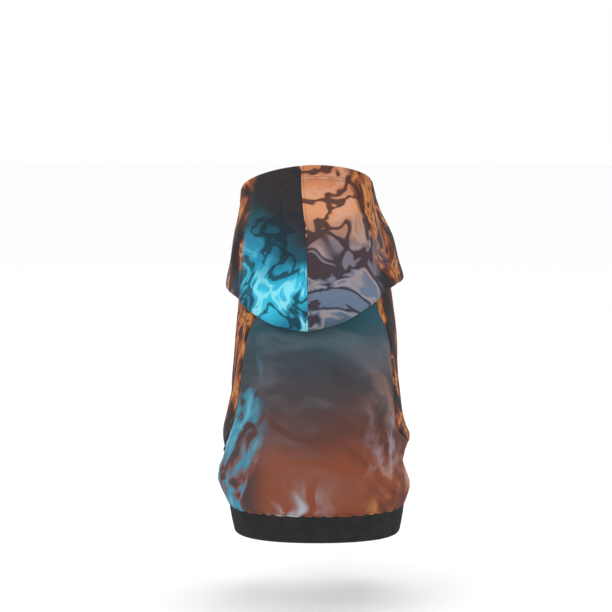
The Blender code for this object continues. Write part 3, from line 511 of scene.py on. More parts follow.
def push_off_body(points, clearance):
    """Moves points that are nearer to the body's cloth than the clearance straight out from it."""
    half_width, half_depth, middle_x, middle_y = section(-points[..., 2])
    across = (points[..., 0] - middle_x) / half_width
    along = (points[..., 1] - middle_y) / half_depth
    angle = np.degrees(np.arctan2(across, -along))
    reach = (np.abs(across) ** ROUNDNESS + np.abs(along) ** ROUNDNESS) ** (1 / ROUNDNESS)
    wanted = 1 + (clearance + swelling(angle, -points[..., 2], BODY_FOLDS)) / half_width
    grow = np.maximum(wanted, reach) / reach
    moved = points.copy()
    moved[..., 0] = middle_x + across * half_width * grow
    moved[..., 1] = middle_y + along * half_depth * grow
    return moved


def sleeve_rows(side):
    """A sleeve's outside. Each row runs from the rear seam round the outside to the front seam.

    Above the armpit the ends of a row lie on the two seams. From the armpit down they meet,
    and the rows are closed rings that narrow to the cuff.
    """
    even = np.linspace(0, 1, SLEEVE_COLUMNS + 1)
    # The columns are closer together near the seams.
    across = even - SEAM_CROWDING * np.sin(2 * math.pi * even) / (2 * math.pi)
    share = np.linspace(0, 1, ROWS_TO_ARMPIT + 1)
    rear_angle, rear_drop = seam(REAR_SEAM, share, side)
    front_angle, front_drop = seam(FRONT_SEAM, share, side)
    # The first full ring is tilted about its rear, which is at the armpit.
    ring_drop = ARMPIT_DROP - 0.6 * SLEEVE_TILT * SLEEVE_DEPTH
    top_centre = np.array([side * SLEEVE_SPREAD / 2, SLEEVE_FORWARD, -ring_drop])
    top_normal = np.array([0.0, -SLEEVE_TILT, 1.0])
    cuff_centre = np.array([side * CUFF_SPREAD / 2, CUFF_FORWARD, -CUFF_DROP])
    cuff_normal = np.array([0.0, -CUFF_TILT, 1.0])

    def turn_to(point, centre):
        out = side * (point[0] - centre[0]) / SLEEVE_WIDTH
        back = (centre[1] - point[1]) / SLEEVE_DEPTH
        return math.degrees(math.atan2(out, back))

    rows, blends, stands = [], [], []
    for k, part in enumerate(share):
        angle = rear_angle[k] + across * (front_angle[k] - rear_angle[k])
        drop = rear_drop[k] + across * (front_drop[k] - rear_drop[k])
        if k == 0:
            to_neckline = neckline(angle) - drop
        drop += max(0.0, 1 - k / FADE_ROWS) * to_neckline
        ease = SLEEVE_EASE * ramp(part, EASE_MARKS) * np.sin(math.pi * even)
        arc = form(angle, drop, ease + swelling(angle, drop, BODY_FOLDS))
        mean_drop = (rear_drop[k] + front_drop[k]) / 2
        lift = max(0.0, ARMPIT_DROP - mean_drop)
        centre = top_centre + lift * np.array([-side * SLEEVE_SLANT, 0.0, 1.0])
        start = turn_to(arc[0], centre)
        end = turn_to(arc[-1], centre) + 360 if part < 1 else start + 360
        turn = start + across * (end - start)
        around = ring(centre, top_normal, SLEEVE_WIDTH, SLEEVE_DEPTH, turn, side)
        down = mean_drop / ARMPIT_DROP
        around[:, 2] = arc[:, 2] + ramp(down, TILT_MARKS) * (around[:, 2] - arc[:, 2])
        from_start, from_end = (1 - across)[:, None] ** WEB_POWER, across[:, None] ** WEB_POWER
        around += from_start * (arc[0] - around[0]) + from_end * (arc[-1] - around[-1])
        blend = ramp(down, RING_MARKS)
        rows.append((1 - blend) * arc + blend * around)
        blends.append(blend)
        stands.append(ramp(down, CLEAR_MARKS))
    armpit = rows[-1][0]
    first = ring(top_centre, top_normal, SLEEVE_WIDTH, SLEEVE_DEPTH, turn[:1], side)[0]
    for part in np.linspace(0, 1, ROWS_TO_CUFF + 1)[1:]:
        centre = top_centre + part * (cuff_centre - top_centre)
        normal = top_normal + part * (cuff_normal - top_normal)
        width = SLEEVE_WIDTH + part * (CUFF_WIDTH - SLEEVE_WIDTH)
        depth = SLEEVE_DEPTH + part * (CUFF_DEPTH - SLEEVE_DEPTH)
        around = ring(centre, normal, width, depth, turn, side)
        # The web behind the armpit fades out on the way to the cuff.
        web = (1 - part) ** WEB_FADE * np.maximum(1 - across, across)[:, None] ** WEB_POWER
        rows.append(around + web * (armpit - first))
        blends.append(0.4 * (1 - part))
    # The sleeve meets the body at its seams, and stands clear of it everywhere else.
    grid = np.array(rows)
    clearance = np.full(grid.shape[:2], SLEEVE_CLEARANCE)
    clearance[:len(stands)] *= np.array(stands)[:, None]
    clearance[:len(stands), [0, -1]] *= SEAM_CLEAR_SHARE
    clearance[ROWS_TO_ARMPIT + 1] *= WEB_CLEAR_SHARE
    for _ in range(RELAX_ROUNDS):
        grid = relaxed(grid, np.array(blends), ROWS_TO_ARMPIT)
        grid[1:] = push_off_body(grid[1:], clearance[1:])
    return grid


def relaxed(grid, weights, closed_from):
    """The grid with each inner point drawn towards its neighbours' mean, by the weight of its row.

    The points slide along the cloth and hardly move in or out of it. The edges stay put.
    Rows past closed_from are rings, whose ends move as one point.
    """
    pull = np.zeros_like(grid)
    mean = (grid[:-2, 1:-1] + grid[2:, 1:-1] + grid[1:-1, :-2] + grid[1:-1, 2:]) / 4
    pull[1:-1, 1:-1] = mean - grid[1:-1, 1:-1]
    rings = slice(closed_from + 1, -1)
    ends = (grid[closed_from:-2, 0] + grid[closed_from + 2:, 0] + grid[rings, 1] + grid[rings, -2]) / 4
    pull[rings, 0] = ends - grid[rings, 0]
    pull[rings, -1] = pull[rings, 0]
    normals = grid_normals(grid, closed_from)
    normals /= np.linalg.norm(normals, axis=-1, keepdims=True)
    outward = (pull * normals).sum(axis=-1, keepdims=True) * normals
    return grid + 0.5 * weights[:, None, None] * (pull - RELAX_STIFFNESS * outward)


def hood_profile(angle, away):
    """The hood's section at an angle, as offsets and drops from the neckline seam to the brim.

    The cloth rises a little from the neckline, turns over, runs down inside, turns up again
    at the lower edge and comes back to the brim, so it makes a pocket that is open at the top.
    """
    around = np.abs(away)
    lowest = smooth(around, column(HOOD_EDGE, "angle"), column(HOOD_EDGE, "drop"))
    lowest = lowest - HOOD_LIFT * max(0.0, math.sin(math.radians(away)))
    full = smooth(around, column(HOOD_EDGE, "angle"), column(HOOD_EDGE, "fullness"))
    top = neckline(angle)
    brim = top - BRIM_RISE - BRIM_LEAN * math.sin(math.radians(angle))
    inner = -CLOTH / 2
    fold = (UNDER_STAND - inner) / 2
    low_turn = (full - UNDER_STAND) / 2
    fold_drop = top - UNDER_RISE
    points = [(inner, top - 2 * SEAM_GAP), (inner, fold_drop)]
    for part in (0.25, 0.5, 0.75):
        out = inner + fold * (1 - math.cos(part * math.pi))
        points.append((out, fold_drop - fold * math.sin(part * math.pi)))
    for part in (0.0, 0.25, 0.5, 0.75, 1.0):
        points.append((UNDER_STAND, fold_drop + part * (lowest - low_turn - fold_drop)))
    for part in (0.2, 0.4, 0.6, 0.8):
        out = UNDER_STAND + low_turn * (1 - math.cos(part * math.pi))
        points.append((out, lowest - low_turn * (1 - math.sin(part * math.pi))))
    outer_shares = np.linspace(0, 1, HOOD_OUTER_ROWS + 1)
    outer_drop = lowest - low_turn + outer_shares * (brim - lowest + low_turn)
    offsets = [row.full * full + row.stand * BRIM_STAND for row in OUTER_LAYER]
    outer_offset = smooth(outer_shares, column(OUTER_LAYER, "share"), offsets)
    outer_offset += swelling(angle, outer_drop, HOOD_FOLDS) * (1 - outer_shares**3)
    points.extend(zip(outer_offset, outer_drop))
    return np.array(points)


def hood_half(side):
    """One half of the hood, halfway through its cloth, as columns from the centre seam to the throat."""
    end = side * (180 - THROAT_GAP)
    angles = HOOD_TURN + np.linspace(0, 1, HOOD_COLUMNS + 1) ** HOOD_CROWDING * (end - HOOD_TURN)
    columns = []
    for angle in angles:
        away = (angle - HOOD_TURN) * 180 / (180 - side * HOOD_TURN)
        points = hood_profile(angle, away)
        columns.append(form(np.full(len(points), angle), points[:, 1], points[:, 0]))
    return np.array(columns).transpose(1, 0, 2)


def grid_normals(grid, closed_from=None):
    """Normals of a grid of points, pointing out when rows run down and columns to the right.

    They are longer where a row bends sharply, as a mitre is, so a wall keeps its thickness there.
    Rows from closed_from on are rings, whose two ends are one point.
    """

    def directions(axis):
        step = np.diff(grid, axis=axis)
        return step / np.maximum(np.linalg.norm(step, axis=-1, keepdims=True), 1e-9)

    down, across = directions(0), directions(1)
    down = np.concatenate([down[:1], down]) + np.concatenate([down, down[-1:]])
    before = np.concatenate([across[:, :1], across], axis=1)
    after = np.concatenate([across, across[:, -1:]], axis=1)
    if closed_from is not None:
        before[closed_from:, 0] = across[closed_from:, -1]
        after[closed_from:, -1] = across[closed_from:, 0]
    normal = np.cross(down, before + after)
    if closed_from is not None:
        meeting = normal[closed_from:, 0] + normal[closed_from:, -1]
        normal[closed_from:, 0] = meeting
        normal[closed_from:, -1] = meeting
    straightness = np.linalg.norm(before + after, axis=-1, keepdims=True) / 2
    length = np.linalg.norm(normal, axis=-1, keepdims=True)
    return normal / length / np.maximum(straightness, 1 / LONGEST_MITRE)


def trimmed(grid, top=0.0, bottom=0.0, sides=0.0, side_rows=None):
    """The grid with its edges drawn in by the given lengths, towards the next row or column."""
    grid = grid.copy()

    def draw_in(edge, neighbour, by):
        way = neighbour - edge
        length = np.linalg.norm(way, axis=-1, keepdims=True)
        return edge + way * np.minimum(by / np.maximum(length, 1e-9), 0.5)

    if sides:
        kept = slice(0, side_rows)
        grid[kept, 0] = draw_in(grid[kept, 0], grid[kept, 1], sides)
        grid[kept, -1] = draw_in(grid[kept, -1], grid[kept, -2], sides)
    if top:
        grid[0] = draw_in(grid[0], grid[1], top)
    if bottom:
        grid[-1] = draw_in(grid[-1], grid[-2], bottom)
    return grid


def finer(grid, steps, axis):
    """The grid with more points along one axis.

    Each stretch between two points is the cubic that starts and ends with the slope from the
    point before to the point after.
    """
    grid = np.moveaxis(np.asarray(grid, float), axis, 0)
    before = np.concatenate([2 * grid[:1] - grid[1:2], grid[:-1]])
    after = np.concatenate([grid[1:], 2 * grid[-1:] - grid[-2:-1]])
    slope = (after - before) / 2
    t = (np.arange(steps) / steps).reshape(1, -1, *[1] * (grid.ndim - 1))
    start, end, leaving, coming = (a[:, None] for a in (grid[:-1], grid[1:], slope[:-1], slope[1:]))
    fine = (1 + 2 * t) * (1 - t) ** 2 * start + t * (1 - t) ** 2 * leaving
    fine = fine + t * t * (3 - 2 * t) * end + t * t * (t - 1) * coming
    fine = np.concatenate([fine.reshape(-1, *grid.shape[1:]), grid[-1:]])
    return np.moveaxis(fine, 0, axis)


def run_lengths(grid, axis):
    """How far each point lies along its row or column, from the grid's first edge."""
    step = np.linalg.norm(np.diff(grid, axis=axis), axis=-1)
    start = np.zeros_like(np.take(step, [0], axis=axis))
    return np.concatenate([start, np.cumsum(step, axis=axis)], axis=axis)


def dip(length, depth, reach):
    """A groove beside an edge: the depth times a bell curve of the length from the edge."""
    return -depth * np.exp(-((length / reach) ** 2))


def rolled_edge(start, end, beyond, bulge):
    """Rows on a half oval from one face of the cloth to the other, bulging past its edge."""
    turn = np.linspace(0, math.pi, EDGE_STEPS + 2)[1:-1, None, None]
    return (start + end) / 2 + np.cos(turn) * (start - end) / 2 + np.sin(turn) * bulge * beyond


def unit(vectors):
    return vectors / np.maximum(np.linalg.norm(vectors, axis=-1, keepdims=True), 1e-12)


Cloth = namedtuple("Cloth", "face back places closed_from rolls inside")


def shell_rows(cloth):
    """The rows of a closed shell: down the face, round the lower edge, up the back, round the top."""
    face, back = cloth.face, cloth.back
    top = rolled_edge(back[:1], face[:1], unit(face[:1] - face[1:2]), cloth.rolls[0])
    bottom = rolled_edge(face[-1:], back[-1:], unit(face[-1:] - face[-2:-1]), cloth.rolls[1])
    return np.concatenate([face, bottom, back[::-1], top])


def make_mesh(name, points, faces, uses, maps, looks):
    """A mesh object from points, quads, the look of each quad and its corners' places on the maps."""
    used, index = np.unique(faces, return_inverse=True)
    index = index.reshape(faces.shape)
    mesh = bpy.data.meshes.new(name)
    mesh.vertices.add(len(used))
    mesh.vertices.foreach_set("co", points[used].astype(np.float32).ravel())
    # A quad whose last two corners are one point is a triangle.
    kept = np.ones(index.shape, bool)
    kept[:, 3] = index[:, 3] != index[:, 2]
    sizes = kept.sum(axis=1)
    starts = np.concatenate([[0], np.cumsum(sizes)[:-1]])
    mesh.loops.add(int(sizes.sum()))
    mesh.loops.foreach_set("vertex_index", index[kept].astype(np.int32))
    mesh.polygons.add(len(index))
    mesh.polygons.foreach_set("loop_start", starts.astype(np.int32))
    mesh.polygons.foreach_set("material_index", uses.astype(np.int32))
    mesh.update(calc_edges=True)
    for map_name, corners in maps.items():
        layer = mesh.uv_layers.new(name=map_name)
        layer.data.foreach_set("uv", corners[kept].astype(np.float32).ravel())
    for look in looks:
        mesh.materials.append(look)
    mesh.shade_smooth()
    mesh.set_sharp_from_angle(angle=math.radians(SHARP_EDGE))
    mesh.validate()
    piece = bpy.data.objects.new(name, mesh)
    bpy.context.scene.collection.objects.link(piece)
    return piece


def quads(ids):
    """Corner numbers of the quads between neighbouring rows and columns of a table of numbers."""
    return np.stack([ids[:-1, :-1], ids[1:, :-1], ids[1:, 1:], ids[:-1, 1:]], axis=-1).reshape(-1, 4)


def make_cloth(name, cloth, looks):
    """A closed shell of cloth. looks are the finishes of its face and its back."""
    points = shell_rows(cloth)
    rows, columns = cloth.face.shape[:2]
    total = len(points)
    ids = np.arange(total * columns).reshape(total, columns)
    joined = ids.copy()
    first_back = rows + EDGE_STEPS
    last_ring = 2 * rows + EDGE_STEPS - cloth.closed_from
    if cloth.closed_from < rows:
        joined[cloth.closed_from:last_ring, -1] = ids[cloth.closed_from:last_ring, 0]
    if cloth.closed_from == 0:
        joined[:, -1] = ids[:, 0]
    round_ids = np.concatenate([ids, ids[:1]])
    faces = quads(round_ids)
    use = np.zeros((total, columns - 1), int)
    use[first_back:first_back + rows - 1] = cloth.inside[::-1]
    use = use.ravel()
    # The side edges: a strip from face to back, and the ends of the rolled edges.
    ends = []
    for column, order in ((0, 1), (columns - 1, -1)):
        face_ids = ids[:cloth.closed_from + 1, column][:rows]
        back_ids = ids[first_back:first_back + rows, column][::-1][:len(face_ids)]
        if len(face_ids) > 1:
            strip = np.stack([face_ids[:-1], back_ids[:-1], back_ids[1:], face_ids[1:]], axis=-1)
            ends.append(strip[:, ::order])
        if cloth.closed_from > 0:
            rim = ids[first_back + rows - 1:, column]
            ends.append(fan(np.append(rim, face_ids[0]), order))
        if cloth.closed_from >= rows:
            rim = ids[rows - 1:first_back + 1, column]
            ends.append(fan(rim, order))
    if ends:
        ends = np.concatenate(ends)
        faces = np.concatenate([faces, ends])
        use = np.concatenate([use, np.zeros(len(ends), int)])
    maps = {}
    for map_name, place in cloth.places.items():
        lower, upper = (np.repeat(row, EDGE_STEPS, axis=0) for row in (place[-1:], place[:1]))
        around = np.concatenate([place, lower, place[::-1], upper])
        maps[map_name] = around.reshape(-1, 2)[faces]
    flat_points = points.reshape(-1, 3)
    return make_mesh(name, flat_points, joined.reshape(-1)[faces], use, maps, looks)


def fan(rim, order):
    """Triangles, written as quads with a doubled corner, that close a short open rim."""
    first = np.full(len(rim) - 2, rim[0])
    corners = np.stack([first, rim[2:], rim[1:-1], rim[1:-1]], axis=-1)
    if order < 0:
        corners = np.stack([first, rim[1:-1], rim[2:], rim[2:]], axis=-1)
    return corners


def weave_place(grid):
    """Each point's place on the cloth in metres: across from the middle column, and down."""
    across = run_lengths(grid, 1)
    middle = grid.shape[1] // 2
    down = run_lengths(grid, 0)[:, middle:middle + 1]
    return np.stack([across - across[:, middle:middle + 1], down + 0 * across], axis=-1)


def form_place(grid):
    """Each point's place on the form: the angle as a share of a half turn, and the drop in metres."""
    _, _, middle_x, middle_y = section(-grid[..., 2])
    angle = np.arctan2(grid[..., 0] - middle_x, middle_y - grid[..., 1]) / math.pi
    # The angles of one row run on past the belly instead of jumping back.
    angle = np.unwrap(angle * math.pi, axis=1) / math.pi
    return np.stack([angle, -grid[..., 2]], axis=-1)


def seam_dips(grid, start=True, end=True, top=True, bottom=True, rows=None):
    """How far the cloth sinks beside its sewn edges. Side edges are sewn only in the first rows."""
    sizes = bpy.context.scene.hoodie_sizes
    across, down = run_lengths(grid, 1), run_lengths(grid, 0)
    height = np.zeros(grid.shape[:2])
    sewn = slice(0, rows)
    if start:
        height[sewn] += dip(across[sewn], sizes.seam_depth, SEAM_REACH)
    if end:
        height[sewn] += dip(across[sewn, -1:] - across[sewn], sizes.seam_depth, SEAM_REACH)
    if top:
        height += dip(down, sizes.seam_depth, SEAM_REACH)
    if bottom:
        height += dip(down[-1:] - down, sizes.seam_depth, SEAM_REACH)
    return height


def gathers(turn, length):
    """Small puckers where cloth is sewn to a rib band: waves of the turn that fade with the length."""
    sizes = bpy.context.scene.hoodie_sizes
    wave = np.sin(turn + 1.3 * np.sin(0.23 * turn) + 0.8 * np.sin(0.071 * turn + 1.0))
    return sizes.gather_height * wave * np.exp(-length / GATHER_REACH)


@functools.cache
def body_cloths():
    """The back and belly panels: the form's surface, lifted by folds, gathers and seam dips."""
    right_rear, left_rear = edge_rows(REAR_SEAM, 1), edge_rows(REAR_SEAM, -1)
    right_front, left_front = edge_rows(FRONT_SEAM, 1), edge_rows(FRONT_SEAM, -1)
    back = panel(left_rear, right_rear, BACK_COLUMNS)
    belly = panel(right_front, (left_front[0] + 360, left_front[1]), BELLY_COLUMNS)
    cloths = {}
    for name, (angle, drop) in (("back", back), ("belly", belly)):
        angle = finer(finer(angle, FINE_ROWS, 0), FINE_COLUMNS, 1)
        drop = finer(finer(drop, FINE_ROWS, 0), FINE_COLUMNS, 1)
        smooth_face = body_cloth(angle, drop)
        to_hem = hemline(angle) - drop
        lift = swelling(angle, drop, FINE_FOLDS) + gathers(HEM_GATHERS * angle, to_hem)
        lift += seam_dips(smooth_face)
        face = smooth_face + lift[..., None] * body_normals(angle, drop)
        face = trimmed(face, top=EDGE_GAP, bottom=EDGE_GAP, sides=EDGE_GAP)
        back_side = face - CLOTH * unit(grid_normals(face))
        places = {"weave": weave_place(smooth_face), "form": np.stack([angle / 180, drop], axis=-1)}
        inside = np.ones((len(face) - 1, face.shape[1] - 1), int)
        cloths[name] = Cloth(face, back_side, places, len(face), (EDGE_BULGE, EDGE_BULGE), inside)
    return cloths


@functools.cache
def sleeve_cloths():
    """The raglan sleeves, whose rows close into rings below the armpit."""
    cloths = {}
    for name, side in (("right", 1), ("left", -1)):
        rows = sleeve_rows(side)[:, ::side]
        grid = finer(finer(rows, FINE_ROWS, 0), FINE_COLUMNS, 1)
        closed_from = ROWS_TO_ARMPIT * FINE_ROWS
        down = run_lengths(grid, 0)
        across = side * np.linspace(-90, 90, grid.shape[1])[None, :] + 0 * down
        to_cuff = down[-1:] - down
        lift = swelling(across, down / down[-1:], SLEEVE_FOLDS)
        lift += gathers(CUFF_GATHERS * across, to_cuff)
        lift += seam_dips(grid)
        normals = unit(grid_normals(grid, closed_from))
        face = grid + lift[..., None] * normals
        face[closed_from:, -1] = face[closed_from:, 0]
        face = trimmed(face, top=EDGE_GAP, bottom=EDGE_GAP, sides=EDGE_GAP, side_rows=closed_from)
        back_side = face - CLOTH * unit(grid_normals(face, closed_from))
        places = {"weave": weave_place(grid), "form": form_place(grid)}
        inside = np.ones((len(face) - 1, face.shape[1] - 1), int)
        cloths[name] = Cloth(face, back_side, places, closed_from, (EDGE_BULGE, EDGE_BULGE), inside)
    return cloths


@functools.cache
def hood_cloths():
    """The two halves of the hood. Their rows run from the neckline down, round and up to the brim."""
    sizes = bpy.context.scene.hoodie_sizes
    cloths = {}
    for name, side in (("right", 1), ("left", -1)):
        middle = hood_half(side)[:, ::-side]
        grid = finer(finer(middle, FINE_HOOD_ROWS, 0), FINE_COLUMNS, 1)
        down = run_lengths(grid, 0)
        to_brim = down[-1:] - down
        seam_first = side < 0
        lift = seam_dips(grid, start=seam_first, end=not seam_first, bottom=False)
        lift += dip(to_brim - sizes.brim_hem, sizes.seam_depth, SEAM_REACH)
        place = form_place(grid)
        share = np.clip(down / down[-1:], 0, 1)
        lift += swelling(180 * place[..., 0] - HOOD_TURN, 100 * share, HOOD_FINE_FOLDS)
        normals = unit(grid_normals(grid))
        middle = trimmed(grid + lift[..., None] * normals, top=EDGE_GAP, sides=EDGE_GAP)
        normals = unit(grid_normals(middle))
        # The brim is turned in once, so its back stands off by one more layer.
        turned = 1 / (1 + np.exp((to_brim - sizes.brim_hem) / HEM_STEP))
        face = middle + normals * CLOTH / 2
        back_side = middle - normals * (CLOTH / 2 + HEM_LAYER * turned)[..., None]
        places = {"weave": weave_place(grid), "form": place}
        inside = (turned < 0.5).astype(int)[1:, 1:]
        rolls = (EDGE_BULGE, CLOTH)
        cloths[name] = Cloth(face, back_side, places, len(face), rolls, inside)
    return cloths


def band_profile(height):
    """The section of a rib band folded double: its run down, its depth in, and the way its ribs stand.

    It goes down the outside, round the fold and up the inside, then back through the narrow
    space between the two layers, round the same fold on its inner side.
    """
    half, slit = RIB / 2, BAND_SLIT / 2
    straight = np.linspace(0, height - half, BAND_STEPS)
    turn = np.linspace(0, math.pi, BAND_TURN_STEPS)[1:-1]
    flat, none = np.ones_like(straight), np.zeros_like(straight)
    quiet = np.zeros_like(turn)
    run = [straight, height - half + half * np.sin(turn), straight[::-1]]
    depth = [none, half - half * np.cos(turn), none + RIB]
    stand_run = [none, np.sin(turn), none]
    stand_out = [flat, np.cos(turn), -flat]
    run += [straight, height - half + slit * np.sin(turn), straight[::-1]]
    depth += [none + half + slit, half + slit * np.cos(turn), none + half - slit]
    stand_run += [none, quiet, none]
    stand_out += [none, quiet, none]
    return [np.concatenate(part) for part in (run, depth, stand_run, stand_out)]


def rib_band(name, top, bottom, outwards):
    """A closed rib band. Its section is carried round the ring, and its ribs are rounded ridges."""
    sizes = bpy.context.scene.hoodie_sizes
    run_top = run_lengths(top, 0)
    length = run_top[-1]
    ribs = round(length / sizes.rib_pitch)
    count = ribs * RIB_STEPS
    at = np.linspace(0, length, count + 1)
    top, bottom, outwards = (
        np.stack([np.interp(at, run_top, part[:, k]) for k in range(3)], axis=-1)
        for part in (top, bottom, outwards)
    )
    outwards = unit(outwards)
    height = np.linalg.norm(bottom - top, axis=-1).mean()
    run, depth, stand_run, stand_out = (part[:, None] for part in band_profile(height))
    share = run / height
    rib = 1 - np.abs(2 * (np.arange(count + 1) * ribs / count % 1) - 1) ** RIB_ROUNDNESS
    risen = RIB_START + (1 - RIB_START) * np.clip(run / SEAM_REACH, 0, 1)
    ridge = sizes.rib_height * rib[None, :] * risen
    down = (bottom - top) / height
    out = RIB_BULGE * np.sin(math.pi * share) - depth + stand_out * ridge
    points = top + (run + stand_run * ridge)[..., None] * down + out[..., None] * outwards
    points[:, -1] = points[:, 0]
    ids = np.arange(points.shape[0] * points.shape[1]).reshape(points.shape[:2])
    joined = ids.copy()
    joined[:, -1] = ids[:, 0]
    faces = quads(np.concatenate([ids, ids[:1]]))
    around_run = run_lengths(np.stack([run[:, 0], depth[:, 0]], axis=-1), 0)
    weave = np.stack([at[None, :] + 0 * run, around_run[:, None] + 0 * at], axis=-1)
    form_map = np.stack([at[None, :] / length + 0 * run, run + 0 * at[None, :]], axis=-1)
    maps = {"weave": weave.reshape(-1, 2)[faces], "form": form_map.reshape(-1, 2)[faces]}
    uses = np.zeros(len(faces), int)
    corners = joined.reshape(-1)[faces]
    band = make_mesh(name, points.reshape(-1, 3), corners, uses, maps, [black_rib()])
    return band, (length, height)


def hem_rings():
    """The hem band's upper and lower rings, and the way out from them."""
    angle = np.linspace(0, 360, HEM_STEPS + 1)
    angle[-1] = 0.0
    lift = swelling(angle, hemline(angle), BODY_FOLDS) - BAND_TUCK
    top = form(angle, hemline(angle) - BAND_LAP, lift)
    bottom = form(angle, hemline(angle) + HEM_BAND, -BAND_TUCK - BAND_TAPER)
    outwards = form(angle, hemline(angle), 1.0) - form(angle, hemline(angle), 0.0)
    return top, bottom, outwards


def cuff_rings(side):
    """A cuff's upper and lower rings, and the way out from them."""
    rows = sleeve_rows(side)[:, ::side]
    rim = rows[-1]
    steps = CUFF_FINENESS * FINE_COLUMNS
    spare = CUFF_OVERLAP * steps
    loop = np.concatenate([rim[-1 - CUFF_OVERLAP : -1], rim, rim[1 : 1 + CUFF_OVERLAP]])
    rim = finer(loop, steps, 0)[spare:-spare]
    rim[-1] = rim[0]
    middle = rows[-1, :-1].mean(axis=0)
    way = np.array([0.0, CUFF_TILT, -1.0])
    outwards = rim - middle
    outwards -= (outwards @ way)[:, None] * way
    outwards = unit(outwards)
    tucked = rim - BAND_TUCK * outwards
    top = tucked - BAND_LAP * way
    bottom = tucked + (SEAM_GAP + CUFF_BAND) * way - CUFF_TAPER * outwards
    return top, bottom, outwards


def inset_line(grid, length, axis, from_end=False):
    """The line of points at a given length in from one edge of a grid, and the way out along it."""
    normals = unit(grid_normals(grid))
    if axis == 1:
        grid, normals = np.swapaxes(grid, 0, 1), np.swapaxes(normals, 0, 1)
    if from_end:
        grid, normals = grid[::-1], normals[::-1]
    run = run_lengths(grid, 0)
    place = np.clip((run < length).sum(axis=0), 1, len(grid) - 1)[None, :]
    low, high = (np.take_along_axis(run, place - k, 0) for k in (1, 0))
    t = ((length - low) / np.maximum(high - low, 1e-9))[0, :, None]
    line, out = (
        np.take_along_axis(part, place[..., None] - 1, 0)[0] * (1 - t)
        + np.take_along_axis(part, place[..., None], 0)[0] * t
        for part in (grid, normals)
    )
    return line, unit(out)


def stitch_run(line, out):
    """Stitches along a line. Each is a thread whose height and thickness follow a half wave."""
    sizes = bpy.context.scene.hoodie_sizes
    run = run_lengths(line, 0)
    count = int(run[-1] / sizes.stitch_pitch)
    middles = (np.arange(count) + 0.5) * run[-1] / max(count, 1)
    share = np.linspace(-0.5, 0.5, STITCH_STEPS + 1)
    at = middles[:, None] + share * sizes.stitch_length
    path, up = (
        np.stack([np.interp(at, run, part[:, k]) for k in range(3)], axis=-1) for part in (line, out)
    )
    up = unit(up)
    ahead = unit(np.gradient(path, axis=1))
    aside = unit(np.cross(up, ahead))
    arch = np.cos(math.pi * share)
    thick = sizes.thread * (0.25 + 0.25 * arch)[None, :, None, None]
    path = path + (sizes.thread * (0.9 * arch - 0.45))[None, :, None] * up
    turn = np.radians([45, 135, 225, 315])[None, None, :, None]
    return path[:, :, None] + thick * (np.cos(turn) * up[:, :, None] + np.sin(turn) * aside[:, :, None])


def make_stitches(name, runs, look):
    """One mesh of all the stitches of some lines."""
    points = np.concatenate([stitch_run(*run) for run in runs])
    count, sections, sides = points.shape[:3]
    ids = np.arange(sections * sides).reshape(sections, sides)
    ids = np.concatenate([ids, ids[:, :1]], axis=1)
    one = np.concatenate([quads(ids)[:, ::-1], ids[:1, 3::-1], ids[-1:, :4]])
    faces = (np.arange(count)[:, None, None] * sections * sides + one).reshape(-1, 4)
    return make_mesh(name, points.reshape(-1, 3), faces, np.zeros(len(faces), int), {}, [look])


def body_stitches():
    """Rows beside the raglan and side seams, and above the hem band."""
    runs = []
    for cloth in body_cloths().values():
        runs += [inset_line(cloth.face, STITCH_INSET, 1, end) for end in (False, True)]
        runs.append(inset_line(cloth.face, STITCH_INSET, 0, True))
    return runs


def sleeve_stitches():
    """One row above each cuff."""
    return [inset_line(cloth.face, STITCH_INSET, 0, True) for cloth in sleeve_cloths().values()]


def hood_stitches():
    """A row on each side of the centre seam, and two rows that hold the turned brim."""
    sizes = bpy.context.scene.hoodie_sizes
    runs = []
    for name, cloth in hood_cloths().items():
        runs.append(inset_line(cloth.face, STITCH_INSET, 1, name == "right"))
        for row in (0, 1):
            runs.append(inset_line(cloth.face, sizes.brim_hem - row * TWIN_NEEDLE, 0, True))
    return runs


def carried_seam(lines):
    """Overlocked seam edges: a flat oval carried along each line, with a wave for its looped thread."""
    turn = np.linspace(0, 2 * math.pi, ALLOWANCE_SIDES + 1)[None, :]
    grids = []
    for line, out in lines:
        run = run_lengths(line, 0)
        count = int(run[-1] / ALLOWANCE_STEP)
        at = np.linspace(0, run[-1], count + 1)
        path, up = (
            np.stack([np.interp(at, run, part[:, k]) for k in range(3)], axis=-1) for part in (line, out)
        )
        up = unit(up)
        ahead = unit(np.gradient(path, axis=0))
        aside = unit(np.cross(up, ahead))
        wave = 1 + 0.08 * np.cos(2 * math.pi * at / ALLOWANCE_LOOP)
        fade = np.sqrt(np.clip(np.minimum(at, at[-1] - at) / ALLOWANCE_THICK, 0.02, 1))
        wide = (ALLOWANCE_WIDTH / 2 * wave * fade)[:, None, None] * np.sin(turn)[..., None]
        thick = (ALLOWANCE_THICK / 2 * wave * fade)[:, None, None] * np.cos(turn)[..., None]
        grids.append(path[:, None] + wide * aside[:, None] + thick * up[:, None])
    return grids


def make_seam_edges(name, lines, look):
    points, faces, start = [], [], 0
    for grid in carried_seam(lines):
        rows, sides = grid.shape[0], grid.shape[1] - 1
        ids = np.arange(rows * sides).reshape(rows, sides) + start
        ring_ids = np.concatenate([ids, ids[:, :1]], axis=1)
        faces.append(quads(ring_ids)[:, ::-1])
        half = sides // 2
        for row, order in ((ids[0], -1), (ids[-1], 1)):
            near, far = row[:half], row[::-1][:half]
            cap = np.stack([near[:-1], near[1:], far[1:], far[:-1]], axis=-1)
            faces.append(cap[:, ::-order])
        points.append(grid[:, :-1].reshape(-1, 3))
        start += rows * sides
    faces = np.concatenate(faces)
    return make_mesh(name, np.concatenate(points), faces, np.zeros(len(faces), int), {}, [look])


